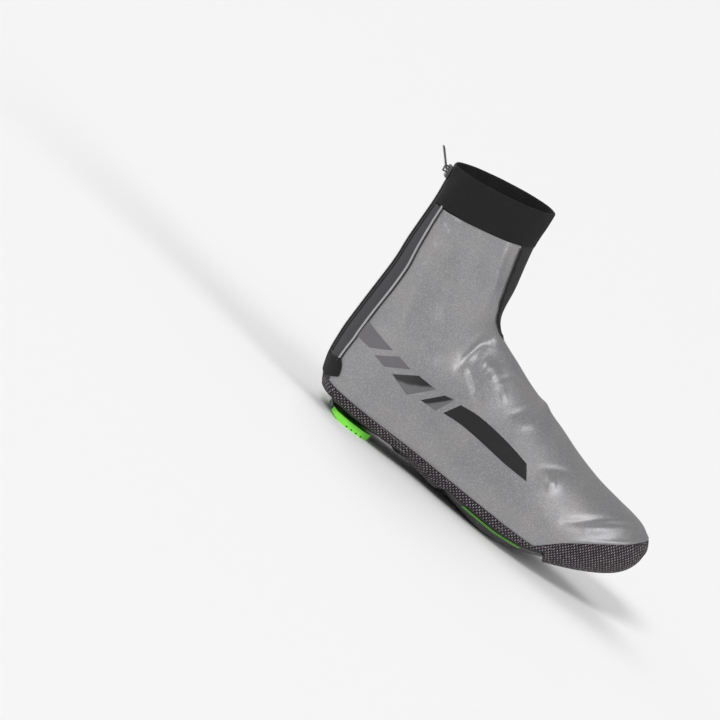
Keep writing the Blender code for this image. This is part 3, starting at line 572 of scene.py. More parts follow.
def makeWeaveGroup():
    # plain weave from a flat coordinate in metres: thread height, gap (the mask for painted shade between
    # threads) and loose specks
    tree, start, end = nodeGroup(
        "plainWeave",
        (("Coordinate", "NodeSocketVector", None), ("Threads per metre", "NodeSocketFloat", 600.0),
         ("Specks", "NodeSocketFloat", 0.5)),
        (("Height", "NodeSocketFloat"), ("Gap", "NodeSocketFloat"), ("Speck", "NodeSocketFloat")))
    scaled = tree.nodes.new("ShaderNodeVectorMath")
    scaled.operation = "SCALE"
    tree.links.new(start.outputs["Coordinate"], scaled.inputs[0])
    tree.links.new(start.outputs["Threads per metre"], scaled.inputs["Scale"])
    split = tree.nodes.new("ShaderNodeSeparateXYZ")
    tree.links.new(scaled.outputs[0], split.inputs[0])
    x = mathNode(tree, "MULTIPLY", split.outputs[0], math.pi)
    y = mathNode(tree, "MULTIPLY", split.outputs[1], math.pi)
    warp = mathNode(tree, "ABSOLUTE", mathNode(tree, "SINE", x))
    weft = mathNode(tree, "ABSOLUTE", mathNode(tree, "SINE", y))
    waves = mathNode(tree, "MULTIPLY", mathNode(tree, "SINE", x), mathNode(tree, "SINE", y))
    over = mathNode(tree, "GREATER_THAN", waves, 0.0)
    under = mathNode(tree, "SUBTRACT", 1.0, over)
    one = mathNode(tree, "MULTIPLY", mathNode(tree, "POWER", warp, 0.5), over)
    two = mathNode(tree, "MULTIPLY", mathNode(tree, "POWER", weft, 0.5), under)
    high = mathNode(tree, "MULTIPLY", mathNode(tree, "ADD", one, two),
                    mathNode(tree, "POWER", mathNode(tree, "MULTIPLY", warp, weft), 0.25))
    tree.links.new(high, end.inputs["Height"])
    tree.links.new(mathNode(tree, "SUBTRACT", 1.0, ramp(tree, high, 0.15, 0.6)), end.inputs["Gap"])
    cell = tree.nodes.new("ShaderNodeTexWhiteNoise")
    whole = tree.nodes.new("ShaderNodeVectorMath")
    whole.operation = "FLOOR"
    tree.links.new(scaled.outputs[0], whole.inputs[0])
    tree.links.new(whole.outputs[0], cell.inputs["Vector"])
    some = mathNode(tree, "ADD", mathNode(tree, "MULTIPLY", cell.outputs["Value"], 0.6), 0.4)
    share = mathNode(tree, "MULTIPLY", some, start.outputs["Specks"])
    speck = mathNode(tree, "MULTIPLY", share, ramp(tree, mathNode(tree, "MULTIPLY", one, warp), 0.35, 0.85))
    tree.links.new(speck, end.inputs["Speck"])
    return tree


def makeGrainGroup():
    # fine grain and slow mottling from the object's own place
    tree, start, end = nodeGroup(
        "surfaceGrain",
        (("Grain scale", "NodeSocketFloat", 900.0), ("Mottle scale", "NodeSocketFloat", 30.0)),
        (("Grain", "NodeSocketFloat"), ("Mottle", "NodeSocketFloat"), ("Wear", "NodeSocketFloat")))
    place = tree.nodes.new("ShaderNodeTexCoord").outputs["Object"]
    grain = noise(tree, place, start.outputs["Grain scale"], 3.0, 0.6)
    mottle = noise(tree, place, start.outputs["Mottle scale"], 4.0, 0.55)
    tree.links.new(grain, end.inputs["Grain"])
    tree.links.new(mottle, end.inputs["Mottle"])
    scuff = noise(tree, place, mathNode(tree, "MULTIPLY", start.outputs["Mottle scale"], 6.0), 5.0, 0.7)
    tree.links.new(ramp(tree, mathNode(tree, "MULTIPLY", scuff, mottle), 0.28, 0.42), end.inputs["Wear"])
    return tree


weaveGroup = makeWeaveGroup()
grainGroup = makeGrainGroup()


def material(name, colour, rough, metallic=0.0, coat=0.0, sheen=0.0, specular=0.5, coatRough=0.2):
    made = bpy.data.materials.new(name)
    made.use_nodes = True
    shader = made.node_tree.nodes["Principled BSDF"]
    shader.inputs["Base Color"].default_value = (*colour, 1)
    shader.inputs["Roughness"].default_value = rough
    shader.inputs["Metallic"].default_value = metallic
    shader.inputs["Coat Weight"].default_value = coat
    shader.inputs["Coat Roughness"].default_value = coatRough
    shader.inputs["Sheen Weight"].default_value = sheen
    shader.inputs["Sheen Roughness"].default_value = 0.4
    shader.inputs["Specular IOR Level"].default_value = specular
    return made, made.node_tree, shader


def useGroup(tree, group, **values):
    node = tree.nodes.new("ShaderNodeGroup")
    node.node_tree = group
    for label, value in values.items():
        node.inputs[label.replace("_", " ")].default_value = value
    return node


def bumpInto(tree, shader, height, distance, strength=1.0):
    node = tree.nodes.new("ShaderNodeBump")
    node.inputs["Strength"].default_value = strength
    node.inputs["Distance"].default_value = distance
    tree.links.new(height, node.inputs["Height"])
    tree.links.new(node.outputs["Normal"], shader.inputs["Normal"])


def uvOf(tree, name):
    node = tree.nodes.new("ShaderNodeUVMap")
    node.uv_map = name
    return node.outputs["UV"]


def feed(tree, shader, label, value):
    tree.links.new(value, shader.inputs[label])


silverLook = {  # the reflective coat and, where the panels mask falls under zero, the knitted back panel
    "cool": (0.255, 0.255, 0.268),
    "warm": (0.300, 0.288, 0.287),
    "sparkle": (0.46, 0.46, 0.47),
    "sparkleShare": 0.5,
    "backPanel": (0.042, 0.040, 0.044),
    "metallic": 0.62,
    "backRoughness": 0.66,
    "smoother": 0.34,
    "grainScale": 850.0,
    "mottleScale": 26.0,
}


def shellMaterial():
    look = silverLook
    mat, tree, shader = material("reflectiveCoat", look["cool"], 0.44, 0.35, sheen=0.05)
    grain = useGroup(tree, grainGroup, Grain_scale=look["grainScale"], Mottle_scale=look["mottleScale"])
    split = tree.nodes.new("ShaderNodeSeparateXYZ")
    tree.links.new(uvOf(tree, "panels"), split.inputs[0])
    silverMask = ramp(tree, split.outputs[0], -0.0002, 0.0002)
    tone = mixColour(tree, ramp(tree, grain.outputs["Mottle"], 0.35, 0.7), look["cool"], look["warm"])
    bright = ramp(tree, grain.outputs["Grain"], 0.42, 0.72)
    sparkle = mathNode(tree, "MULTIPLY", bright, look["sparkleShare"])
    speckled = mixColour(tree, sparkle, tone, look["sparkle"])
    feed(tree, shader, "Base Color", mixColour(tree, silverMask, look["backPanel"], speckled))
    feed(tree, shader, "Metallic", mathNode(tree, "MULTIPLY", silverMask, look["metallic"]))
    smoother = mathNode(tree, "MULTIPLY", silverMask, look["smoother"])
    rough = mathNode(tree, "ADD", mathNode(tree, "MULTIPLY", grain.outputs["Grain"], 0.16),
                     mathNode(tree, "SUBTRACT", look["backRoughness"], smoother))
    feed(tree, shader, "Roughness", rough)
    bumpInto(tree, shader, grain.outputs["Grain"], 0.0002, 0.5)
    return mat


def sidedPlace(tree):
    # flat coordinate from the piece's own place, taken square to the axis that its face turns to most
    source = tree.nodes.new("ShaderNodeTexCoord")
    place, facing = (tree.nodes.new("ShaderNodeSeparateXYZ") for _ in range(2))
    tree.links.new(source.outputs["Object"], place.inputs[0])
    tree.links.new(source.outputs["Normal"], facing.inputs[0])
    x, y, z = (mathNode(tree, "ABSOLUTE", facing.outputs[i]) for i in range(3))
    useX = mathNode(tree, "GREATER_THAN", x, mathNode(tree, "MAXIMUM", y, z))
    useY = mathNode(tree, "GREATER_THAN", y, mathNode(tree, "MAXIMUM", x, z))
    result = None
    for use, first, second in ((None, 0, 1), (useY, 0, 2), (useX, 1, 2)):
        flat = tree.nodes.new("ShaderNodeCombineXYZ")
        tree.links.new(place.outputs[first], flat.inputs[0])
        tree.links.new(place.outputs[second], flat.inputs[1])
        if use is None:
            result = flat.outputs[0]
            continue
        pick = tree.nodes.new("ShaderNodeMix")
        pick.data_type = "VECTOR"
        tree.links.new(use, pick.inputs[0])
        tree.links.new(result, pick.inputs[4])
        tree.links.new(flat.outputs[0], pick.inputs[5])
        result = pick.outputs[1]
    return result


def knitMaterial(name, colour, light, threads, rough=0.85, sheen=0.12, depth=0.0003, specks=0.25,
                 byPlace=False):
    mat, tree, shader = material(name, colour, rough, sheen=sheen, specular=0.3)
    weave = useGroup(tree, weaveGroup, Threads_per_metre=threads, Specks=specks)
    tree.links.new(sidedPlace(tree) if byPlace else uvOf(tree, "cloth"), weave.inputs["Coordinate"])
    grain = useGroup(tree, grainGroup, Grain_scale=900.0, Mottle_scale=45.0)
    # painted shade: the colour darkens to about a third in the gaps between threads
    deep = tuple(c * 0.35 for c in colour)
    tone = mixColour(tree, weave.outputs["Gap"], colour, deep)
    tone = mixColour(tree, weave.outputs["Speck"], tone, light)
    tone = mixColour(tree, mathNode(tree, "MULTIPLY", grain.outputs["Wear"], 0.03), tone, light)
    feed(tree, shader, "Base Color", tone)
    swing = mathNode(tree, "MULTIPLY", grain.outputs["Grain"], 0.16)
    feed(tree, shader, "Roughness", mathNode(tree, "ADD", rough - 0.08, swing))
    fibres = mathNode(tree, "MULTIPLY", grain.outputs["Grain"], 0.4)
    bumpInto(tree, shader, mathNode(tree, "ADD", weave.outputs["Height"], fibres), depth, 0.9)
    return mat


def mouldedMaterial(name, colour, rough, metallic=0.0, coat=0.0, wear=(0.1, 0.1, 0.1), grainScale=1200.0,
                    depth=0.00008, wearShare=0.25):
    roughSwing = 0.14
    mat, tree, shader = material(name, colour, rough, metallic, coat)
    grain = useGroup(tree, grainGroup, Grain_scale=grainScale, Mottle_scale=35.0)
    worn = mathNode(tree, "MULTIPLY", grain.outputs["Wear"], wearShare)
    feed(tree, shader, "Base Color", mixColour(tree, worn, colour, wear))
    swing = mathNode(tree, "MULTIPLY", grain.outputs["Mottle"], roughSwing)
    feed(tree, shader, "Roughness", mathNode(tree, "ADD", rough - roughSwing / 2, swing))
    bumpInto(tree, shader, grain.outputs["Grain"], depth, 0.6)
    return mat


coat = shellMaterial()
lining = knitMaterial("liningKnit", (0.014, 0.014, 0.015), (0.04, 0.04, 0.045), 900, 0.9, 0.03, specks=0.3)
bandKnit = knitMaterial("bandKnit", (0.011, 0.010, 0.011), (0.035, 0.033, 0.035), 1100, 0.9, 0.03,
                        0.0002, 0.4)
stripKnit = knitMaterial("stripKnit", (0.026, 0.025, 0.027), (0.09, 0.085, 0.09), 700, 0.9, 0.05, specks=0.6)
underWeave = knitMaterial("underWeave", (0.014, 0.011, 0.014), (0.42, 0.36, 0.39), 620, 0.9, 0.1, 0.0007,
                          0.75, byPlace=True)
bindingTape = knitMaterial("bindingTape", (0.030, 0.028, 0.030), (0.12, 0.115, 0.12), 1300, 0.85, 0.05,
                           0.0002, 0.5, byPlace=True)
patchKnit = knitMaterial("patchKnit", (0.012, 0.011, 0.012), (0.04, 0.038, 0.04), 900, 0.9, 0.03, specks=0.4)
tapeKnit = knitMaterial("tapeKnit", (0.030, 0.029, 0.031), (0.07, 0.07, 0.075), 1300, specks=0.3)
footbedCloth = knitMaterial("footbedCloth", (0.030, 0.030, 0.034), (0.09, 0.09, 0.1), 800, specks=0.35)
pipingCoat = mouldedMaterial("pipingCoat", (0.36, 0.36, 0.37), 0.42, 0.3, wear=(0.5, 0.5, 0.5))
blackThread = mouldedMaterial("blackThread", (0.010, 0.010, 0.011), 0.75, wear=(0.03, 0.03, 0.03))
greyThread = mouldedMaterial("greyThread", (0.20, 0.19, 0.20), 0.7, wear=(0.3, 0.3, 0.3))
coilNylon = mouldedMaterial("coilNylon", (0.012, 0.012, 0.013), 0.35, wear=(0.05, 0.05, 0.05))
soleNylon = mouldedMaterial("soleNylon", (0.006, 0.006, 0.007), 0.22, coat=0.6, wear=(0.03, 0.03, 0.032))
limeRubber = mouldedMaterial("limeRubber", (0.22, 0.80, 0.06), 0.5, wear=(0.12, 0.5, 0.04), depth=0.0001)
# lime strip: the heel tread's lime at about half its brightness, painted shade from the hem above it; its
# dark wear marks are dirt
limeShadedEdge = mouldedMaterial("limeShadedEdge", (0.11, 0.36, 0.04), 0.45, wear=(0.03, 0.08, 0.02), wearShare=0.6)
greyPad = mouldedMaterial("greyPad", (0.10, 0.10, 0.108), 0.5, wear=(0.2, 0.2, 0.2))
darkSteel = mouldedMaterial("darkSteel", (0.10, 0.10, 0.105), 0.28, 0.9, wear=(0.35, 0.35, 0.35),
                            grainScale=2500.0)


def fadeMaterial():
    # black print that turns grey towards its lower rear corner
    mat, tree, shader = material("printFade", (0.012, 0.012, 0.013), 0.24, coat=0.5)
    grain = useGroup(tree, grainGroup, Grain_scale=1500.0, Mottle_scale=60.0)
    split = tree.nodes.new("ShaderNodeSeparateXYZ")
    tree.links.new(uvOf(tree, "panels"), split.inputs[0])
    across = mathNode(tree, "SUBTRACT", split.outputs[1], mathNode(tree, "MULTIPLY", split.outputs[0], 0.5))
    uneven = mathNode(tree, "MULTIPLY", grain.outputs["Mottle"], 0.3)
    fade = ramp(tree, mathNode(tree, "ADD", across, uneven), 0.35, 0.6)
    feed(tree, shader, "Base Color", mixColour(tree, fade, (0.010, 0.010, 0.011), (0.115, 0.112, 0.118)))
    feed(tree, shader, "Roughness", mathNode(tree, "ADD", 0.22, mathNode(tree, "MULTIPLY", fade, 0.15)))
    bumpInto(tree, shader, grain.outputs["Grain"], 0.0001, 0.4)
    return mat


printGrey = mouldedMaterial("printGrey", (0.125, 0.120, 0.130), 0.36, 0.1, wear=(0.16, 0.155, 0.165))
printFade = fadeMaterial()
printBlack = mouldedMaterial("printBlack", (0.008, 0.008, 0.009), 0.16, coat=0.6, wear=(0.03, 0.03, 0.03))
print("materials ready")

# Upper shell

shell = {
    "spacing": 0.0020,
    "columns": 82,
    "rearHalf": ((12.5, 0.016), (14.0, 0.0180), (15.0, 0.0210), (16.0, 0.0200), (17.0, 0.0200),
                 (18.0, 0.0190), (19.0, 0.0170), (19.65, 0.0150), (20.5, 0.0135)),
    "rearFromRow": 12.6,  # the back panel starts above this row
    "seamRoll": (0.0004, 0.0022, 0.0022),  # height, middle and half width from the seam
    "seamTuck": (-0.0004, 0.0, 0.0009),
    "rearTuck": (-0.0006, 0.0032, 0.0012),
    "innerRoll": 0.3,
    "innerCrease": 0.8,
}


def rearHalfAt(s):
    rows, values = zip(*shell["rearHalf"])
    return np.interp(s, rows, values)


def buildUpper():
    rows = np.concatenate([evenRows(seamToe, seamHeel, shell["spacing"])[:-1],
                           evenRows(seamHeel, shoe["bandRow"] - 0.02, shell["spacing"])])
    n = shell["columns"]
    k, side = columnsOf(n)
    run = runAlong(cloth(rows, 1.0, 1, crease=0.0))
    outer, inner, uvs, masks = [], [], [], []
    for s, along in zip(rows, run):
        low = np.where(side < 0, seamShare(s, -1, 0.0002), seamShare(s, 1, 0.0002))
        q = 1 - np.abs(k) / n * (1 - low)
        arc = arcsAt(s, side)
        fromBack, fromFront = q * arc, (1 - q) * arc
        rearGap = fromBack - rearHalfAt(s) if s > shell["rearFromRow"] else np.full(len(k), 0.05)
        edge = (q - low) * arc if low.max() > 0 else np.full(len(k), 1.0)
        roll = (softRidge(edge, *shell["seamRoll"]) + softRidge(edge, *shell["seamTuck"])
                + softRidge(rearGap, *shell["rearTuck"]))
        outer.append(cloth(s, q, side, roll))
        within = shell["innerRoll"] * roll - shoe["wall"]
        inner.append(cloth(s, q, side, within, crease=shell["innerCrease"]))
        uvs.append(np.column_stack([fromFront * side, np.full(len(k), along)]))
        masks.append(np.column_stack([rearGap, fromFront]))
    obj = wallBetween("upperShell", np.array(outer), np.array(inner), [coat, lining], 1, np.array(uvs),
                      np.array(masks), 1)
    return put(obj, "overshoe", "reflective", "upper")


upperShell = buildUpper()
print("upper", len(upperShell.data.polygons))


def lineOn(rows, shares, side, proud):
    # a line on the cloth and its outward directions
    rows, shares = np.asarray(rows, float), np.asarray(shares, float)
    line = cloth(rows, shares, side, proud)
    return line, lookUp(skinOuts[side], rows, shares)


piping = {"fromRow": 14.0, "points": 120, "away": 0.0008, "proud": 0.0004, "radius": 0.00095, "flatten": 0.8}
pipingThread = {"away": 0.0024, "proud": 0.0001, "radius": 0.00042, "flatten": 0.8}


def buildPiping():
    rows = np.linspace(piping["fromRow"], shoe["bandRow"] + 0.05, piping["points"])
    for name, trim, sides, mat, slotName in (
            ("rearPiping", piping, 8, pipingCoat, "reflective"),
            ("rearPipingThread", pipingThread, 6, blackThread, "elastic")):
        tubes = []
        for side in (-1, 1):
            shares = (rearHalfAt(rows) + trim["away"]) / arcAt(rows, side)
            line, outs = lineOn(rows, shares, side, trim["proud"])
            tubes.append(tube(line, trim["radius"], sides, outs, trim["flatten"]))
        put(joined(name, tubes, [mat]), "overshoe", slotName)


buildPiping()

shin = {
    "half": ((12.0, 0.0003), (12.4, 0.0028), (13.0, 0.0055), (14.0, 0.0088), (15.0, 0.0135), (16.0, 0.0180),
             (17.0, 0.0240), (18.0, 0.0265), (19.0, 0.0270), (20.0, 0.0290)),  # half width against the row
    "fromRow": 12.0,
    "rows": 150,
    "columns": 22,
    "proud": 0.0004,
    "edgeDrop": 0.0003,
    "overlock": {"pitch": 0.0017, "length": 0.0026, "radius": 0.00032, "lean": 1.2},
    "topstitch": {"pitch": 0.0022, "length": 0.0016, "radius": 0.00022},
}


def shinHalfAt(s):
    rows, values = zip(*shin["half"])
    return np.interp(s, rows, values)


def buildShinStrip():
    rows = np.linspace(shin["fromRow"], shoe["bandRow"] + 0.02, shin["rows"])
    n = shin["columns"]
    k, side = columnsOf(n)
    run = runAlong(cloth(rows, 1.0, 1, crease=0.0))
    outer, inner, uvs = [], [], []
    for s, along in zip(rows, run):
        reach = np.abs(k) / n * shinHalfAt(s)
        q = 1 - reach / arcsAt(s, side)
        drop = shin["edgeDrop"] * (np.abs(k) / n) ** 8
        outer.append(cloth(s, q, side, shin["proud"] - drop))
        inner.append(cloth(s, q, side, -0.0003))
        uvs.append(np.column_stack([reach * side, np.full(len(k), along)]))
    put(wallBetween("shinStrip", np.array(outer), np.array(inner), [stripKnit], 0, np.array(uvs)),
        "overshoe", "elastic")
    stitches = []
    rows = np.linspace(12.3, shoe["bandRow"] - 0.05, 160)
    for sideOne in (-1, 1):
        arc = arcAt(rows, sideOne)
        line, outs = lineOn(rows, 1 - (shinHalfAt(rows) + 0.0004) / arc, sideOne, 0.0005)
        stitches += stitchRun(line, outs, **shin["overlock"])
        within = np.maximum(shinHalfAt(rows) - 0.0018, 0.0002)
        line, outs = lineOn(rows, 1 - within / arc, sideOne, 0.00055)
        stitches += stitchRun(line, outs, **shin["topstitch"])
    put(joined("shinOverlock", stitches, [blackThread]), "overshoe", "elastic")


buildShinStrip()
print("shin strip")

# Slanted printed blocks on the outer side, corners as (x, z) in mm from the back of the heel

blocks = {
    "dashOne": (printGrey, ((1.2, 76.4), (28.2, 72.1), (13.9, 62.1), (3.2, 61.8))),
    "dashTwo": (printGrey, ((19.9, 60.3), (35.1, 71.2), (48.5, 68.7), (31.0, 58.1))),
    "dashThree": (printFade, ((39.7, 57.4), (56.7, 68.6), (74.2, 68.1), (58.4, 51.4))),
    "dashFour": (printFade, ((69.8, 54.9), (82.5, 68.7), (90.6, 70.7), (83.8, 55.3))),
}
longBlock = {
    "upper": ((97.0, 70.5), (112.9, 72.3), (133.2, 71.3), (151.4, 69.0), (166.0, 66.3)),
    "lower": ((89.7, 57.7), (106.1, 59.1), (126.5, 58.3), (150.4, 56.5), (173.6, 56.1)),
}


def sharesAt(x, z):
    # row and share of places seen from the outer side, by nearest fine place and one linear step
    grid = skinPlaces[-1]
    underside = 16  # columns that face the floor or the rear
    rows, shares = [], []
    for px, pz in zip(np.ravel(x), np.ravel(z)):
        d = (grid[..., 0] - px) ** 2 + (grid[..., 2] - pz) ** 2
        d[:, :underside] = 1.0
        i, k = np.unravel_index(np.argmin(d), d.shape)
        i, k = min(max(i, 1), len(fineRows) - 2), min(max(k, 1), shareCount - 2)
        byRow = (grid[i + 1, k] - grid[i - 1, k]) / 2
        byShare = (grid[i, k + 1] - grid[i, k - 1]) / 2
        across = np.array(((byRow[0], byShare[0]), (byRow[2], byShare[2])))
        step = np.linalg.solve(across, (px - grid[i, k, 0], pz - grid[i, k, 2])).clip(-1, 1)
        rows.append(fineRows[i] + step[0] * rowStep)
        shares.append((k + step[1]) / (shareCount - 1))
    return np.reshape(rows, np.shape(x)), np.reshape(shares, np.shape(x))


def printedPatch(name, mat, grid):
    # a thin film on the cloth, over a grid of (x, z) places in mm
    x, z = 0.001 * grid[..., 0], 0.001 * grid[..., 1]
    s, q = sharesAt(x - shoe["heelSeatBack"], z)
    outer = cloth(s, q, -1, 0.00014)
    inner = cloth(s, q, -1, -0.0002)
    v, u = np.meshgrid(np.linspace(0, 1, x.shape[0]), np.linspace(0, 1, x.shape[1]), indexing="ij")
    film = wallBetween(name, outer, inner, [mat], 0, None, np.stack([u, v], axis=-1))
    return put(film, "overshoe", "reflective")


def buildShortDashes():
    t = np.linspace(0, 1, 13)
    for name, (mat, corners) in blocks.items():
        a, b, c, d = np.array(corners)
        grid = [[(1 - v) * ((1 - u) * a + u * b) + v * ((1 - u) * d + u * c) for u in t] for v in t]
        printedPatch(name, mat, np.array(grid))


def smoothAlong(points, count):
    points = np.array(points, float)
    padded = np.concatenate([[2 * points[0] - points[1]], points, [2 * points[-1] - points[-2]]])
    out = []
    for t in np.linspace(0, len(points) - 1, count):
        i = min(int(t), len(points) - 2)
        t -= i
        a, b, c, d = padded[i:i + 4]
        out.append(0.5 * (2 * b + (c - a) * t + (2 * a - 5 * b + 4 * c - d) * t**2
                          + (3 * b - a - 3 * c + d) * t**3))
    return np.array(out)


def buildLongDash():
    top, bottom = smoothAlong(longBlock["upper"], 46), smoothAlong(longBlock["lower"], 46)
    grid = [top * (1 - v) + bottom * v for v in np.linspace(0, 1, 11)]
    printedPatch("dashFive", printBlack, np.array(grid))


buildShortDashes()
buildLongDash()
print("printed blocks")

# Collar band: its profile goes up the outer face, over the folded rim and down inside

band = {
    "proud": 0.0008,
    "thick": 0.0020,
    "columns": 90,
    "gap": 0.0049,  # from the back line to the band's end, beside the zip
    "stitchRow": 20.22,
    "foldRows": (0.09, 0.085),  # where the folded rim starts, and how far it reaches
    "ripple": 0.00025,
    "groove": (-0.0003, 0.04),
    "stitch": {"pitch": 0.0030, "length": 0.0022, "radius": 0.00022},
}


def buildBand():
    low, high = shoe["bandRow"] + 0.02, shoe["topRow"]
    half = band["thick"] / 2
    foldStart, foldReach = high - band["foldRows"][0], band["foldRows"][1]
    climb = [low + (foldStart - low) * t for t in np.linspace(0, 1, 26)]
    turn = np.linspace(0, math.pi, 9)[1:-1]
    profile = [(s, band["proud"]) for s in climb]
    profile += [(foldStart + foldReach * math.sin(a), band["proud"] - half + half * math.cos(a))
                for a in turn]
    profile += [(s, band["proud"] - band["thick"]) for s in climb[::-1]]
    n = band["columns"]
    k, side = columnsOf(n)
    grid, uvs = [], []
    for j, (s, proud) in enumerate(profile):
        arc = arcsAt(s, side)
        q = 1 - np.abs(k) / n * (1 - band["gap"] / arc)
        ripple = band["ripple"] * np.sin(q * side * 34 + s * 3) * smoothStep((s - low) / 1.2)
        deep, wide = band["groove"]
        groove = softRidge(s, deep, band["stitchRow"], wide) if j < len(climb) else 0.0
        grid.append(cloth(s, q, side, proud + ripple + groove, crease=0.0))
        uvs.append(np.column_stack([(1 - q) * arc * side, np.full(len(k), j * 0.0010)]))
    grid, uvs = np.array(grid), np.array(uvs)
    rows, cols = grid.shape[:2]
    faces = []
    for j in range(rows):
        m = (j + 1) % rows
        for i in range(cols - 1):
            faces.append((j * cols + i, j * cols + i + 1, m * cols + i + 1, m * cols + i))
    faces.append(tuple(j * cols for j in range(rows)))
    faces.append(tuple(j * cols + cols - 1 for j in range(rows))[::-1])
    obj = makeMesh("collarBand", grid.reshape(-1, 3), faces, [bandKnit], None, uvs.reshape(-1, 2))
    put(obj, "overshoe", "elastic", "collar_band")
    stitches = []
    for sideOne in (-1, 1):
        shares = np.linspace(0.06, 1.0, 90)
        line, outs = lineOn(np.full(90, band["stitchRow"]), shares, sideOne, band["proud"] - 0.0002)
        stitches += stitchRun(line, outs, **band["stitch"])
    put(joined("bandStitches", stitches, [blackThread]), "overshoe", "elastic")


buildBand()
print("band")

# Under panel with its two openings, cut with the same outlines as the solid


def smoothLoop(points, copies=8):
    points = np.array(points, float)
    count = len(points)
    line = []
    for i in range(count):
        a, b, c, d = (points[(i + k) % count] for k in (-1, 0, 1, 2))
        for t in np.arange(copies) / copies:
            line.append((2 * t**3 - 3 * t**2 + 1) * b + (t**3 - 2 * t**2 + t) * (c - a) / 2
                        + (3 * t**2 - 2 * t**3) * c + (t**3 - t**2) * (d - b) / 2)
    return np.array(line)


def cleatLoop():
    half = shoe["ballWidth"] / 2
    front, rear = shoe["cleatFront"], shoe["strapFront"]
    return smoothLoop((
        (front, 0.06 * half), (front - 0.010, -0.45 * half), (front - 0.024, -0.95 * half),
        (front - 0.050, -1.25 * half), (rear + 0.050, -1.25 * half), (rear + 0.018, -0.98 * half),
        (rear + 0.004, -0.48 * half), (rear, 0.0), (rear + 0.006, 0.42 * half), (rear + 0.034, 0.72 * half),
        (front - 0.052, 0.80 * half), (front - 0.014, 0.52 * half)))


def heelLoop():
    half = shoe["ballWidth"] / 2
    edge, back = shoe["strapRear"], -0.030
    return smoothLoop((
        (edge, 0.0), (edge + 0.003, -0.45 * half), (edge + 0.016, -0.85 * half),
        (edge - 0.010, -1.15 * half), (0.0, -1.20 * half),
        (back, -0.6 * half), (back, 0.6 * half), (0.0, 1.20 * half),
        (edge - 0.010, 1.15 * half), (edge + 0.014, 0.80 * half), (edge + 0.003, 0.42 * half)))


def cleatTop(x):
    toe = (shoe["seamHeight"] - shoe["hemHeight"]) * smoothStep((x - 0.203) / 0.04)
    lift = np.interp(x / shoe["footLength"], *zip(*soleRise)) * shoe["instepHeight"]
    return shoe["hemHeight"] + lift + toe


def heelTop(x):
    return np.full(np.shape(x), shoe["hemHeight"])


def openingCutter(name, loop, topOf):
    # closed body under an opening: a roof of four rings and a middle point, and a flat floor
    low = -0.03
    shift = np.array((shoe["heelSeatBack"], 0.0))
    middle = loop.mean(axis=0)
    rings = [middle + (loop - middle) * share for share in (1.0, 0.75, 0.5, 0.25)]
    points = [np.column_stack([ring - shift, topOf(ring[:, 0])]) for ring in rings]
    points.append(np.array([[middle[0] - shift[0], middle[1], float(topOf(middle[0:1])[0])]]))
    points.append(np.column_stack([loop - shift, np.full(len(loop), low)]))
    n = len(loop)
    faces = []
    for r in range(3):
        for i in range(n):
            m = (i + 1) % n
            faces.append((r * n + i, r * n + m, (r + 1) * n + m, (r + 1) * n + i))
    for i in range(n):
        m = (i + 1) % n
        faces.append((3 * n + i, 3 * n + m, 4 * n))
        faces.append((4 * n + 1 + i, 4 * n + 1 + m, m, i))
    faces.append(tuple(4 * n + 1 + i for i in range(n))[::-1])
    return makeMesh(name, np.concatenate(points), faces, [], flat=True)


def cutWith(obj, cutters, edgeMat=None):
    for cutter in cutters:
        cut = obj.modifiers.new("cut", "BOOLEAN")
        if edgeMat:
            cutter.data.materials.append(edgeMat)
            cut.material_mode = "TRANSFER"
        cut.operation = "DIFFERENCE"
        cut.solver = "EXACT"
        cut.object = cutter
    bpy.context.view_layer.update()
    done = bpy.data.meshes.new_from_object(obj.evaluated_get(bpy.context.evaluated_depsgraph_get()))
    obj.modifiers.clear()
    obj.data = done
    for cutter in cutters:
        bpy.data.objects.remove(cutter)
    return obj


under = {"spacing": 0.0024, "columns": 56, "tuck": (-0.0004, 0.0, 0.002)}


def buildUnderPanel():
    rows = np.concatenate([evenRows(0.0, seamToe, under["spacing"])[:-1],
                           evenRows(seamToe, seamHeel, under["spacing"])])
    n = under["columns"]
    k, side = columnsOf(n)
    run = runAlong(cloth(rows, np.array([0.75 * seamShare(s, -1) for s in rows]), -1, crease=0.0))
    outer, inner, uvs = [], [], []
    for s, along in zip(rows, run):
        high = np.where(side < 0, seamShare(s, -1, -0.0002), seamShare(s, 1, -0.0002))
        q = np.abs(k) / n * high
        arc = arcsAt(s, side)
        proud = softRidge((high - q) * arc, *under["tuck"]) * (high < 1)
        outer.append(cloth(s, q, side, proud))
        inner.append(cloth(s, q, side, -shoe["wall"]))
        uvs.append(np.column_stack([q * arc * side, np.full(len(k), along)]))
    obj = wallBetween("underPanel", np.array(outer), np.array(inner), [underWeave], 0, np.array(uvs))
    cutters = [openingCutter("cleatCut", cleatLoop(), cleatTop),
               openingCutter("heelCut", heelLoop(), heelTop)]
    cutWith(obj, cutters, bindingTape)
    obj.data.set_sharp_from_angle(angle=math.radians(50))
    return put(obj, "overshoe", "woven", "under_panel")


underPanel = buildUnderPanel()

hem = {
    "spacing": 0.0018,
    "binding": 0.00115,  # radius of the bound edge
    "rows": (0.0030, 0.0082),  # stitch rows, from the edge
    "stitch": {"pitch": 0.0028, "length": 0.0020, "radius": 0.00022},
    "core": 0.035,  # height of the line inside the foot that outward faces turn away from
}


def facesOut(place, normal):
    return normal.dot(Vector((0.0, place.y, place.z - hem["core"]))) > 0


def chainsOf(links):
    # indices in order along each line of linked points
    chains, seen = [], set()
    for first in links:
        if first in seen or len(links[first]) != 2:
            continue
        chain, here, before = [], first, None
        while here is not None and here not in seen:
            seen.add(here)
            chain.append(here)
            ahead = [n for n in links[here] if n != before and n not in seen]
            before, here = here, (ahead[0] if ahead else None)
        chains.append(chain)
    return chains


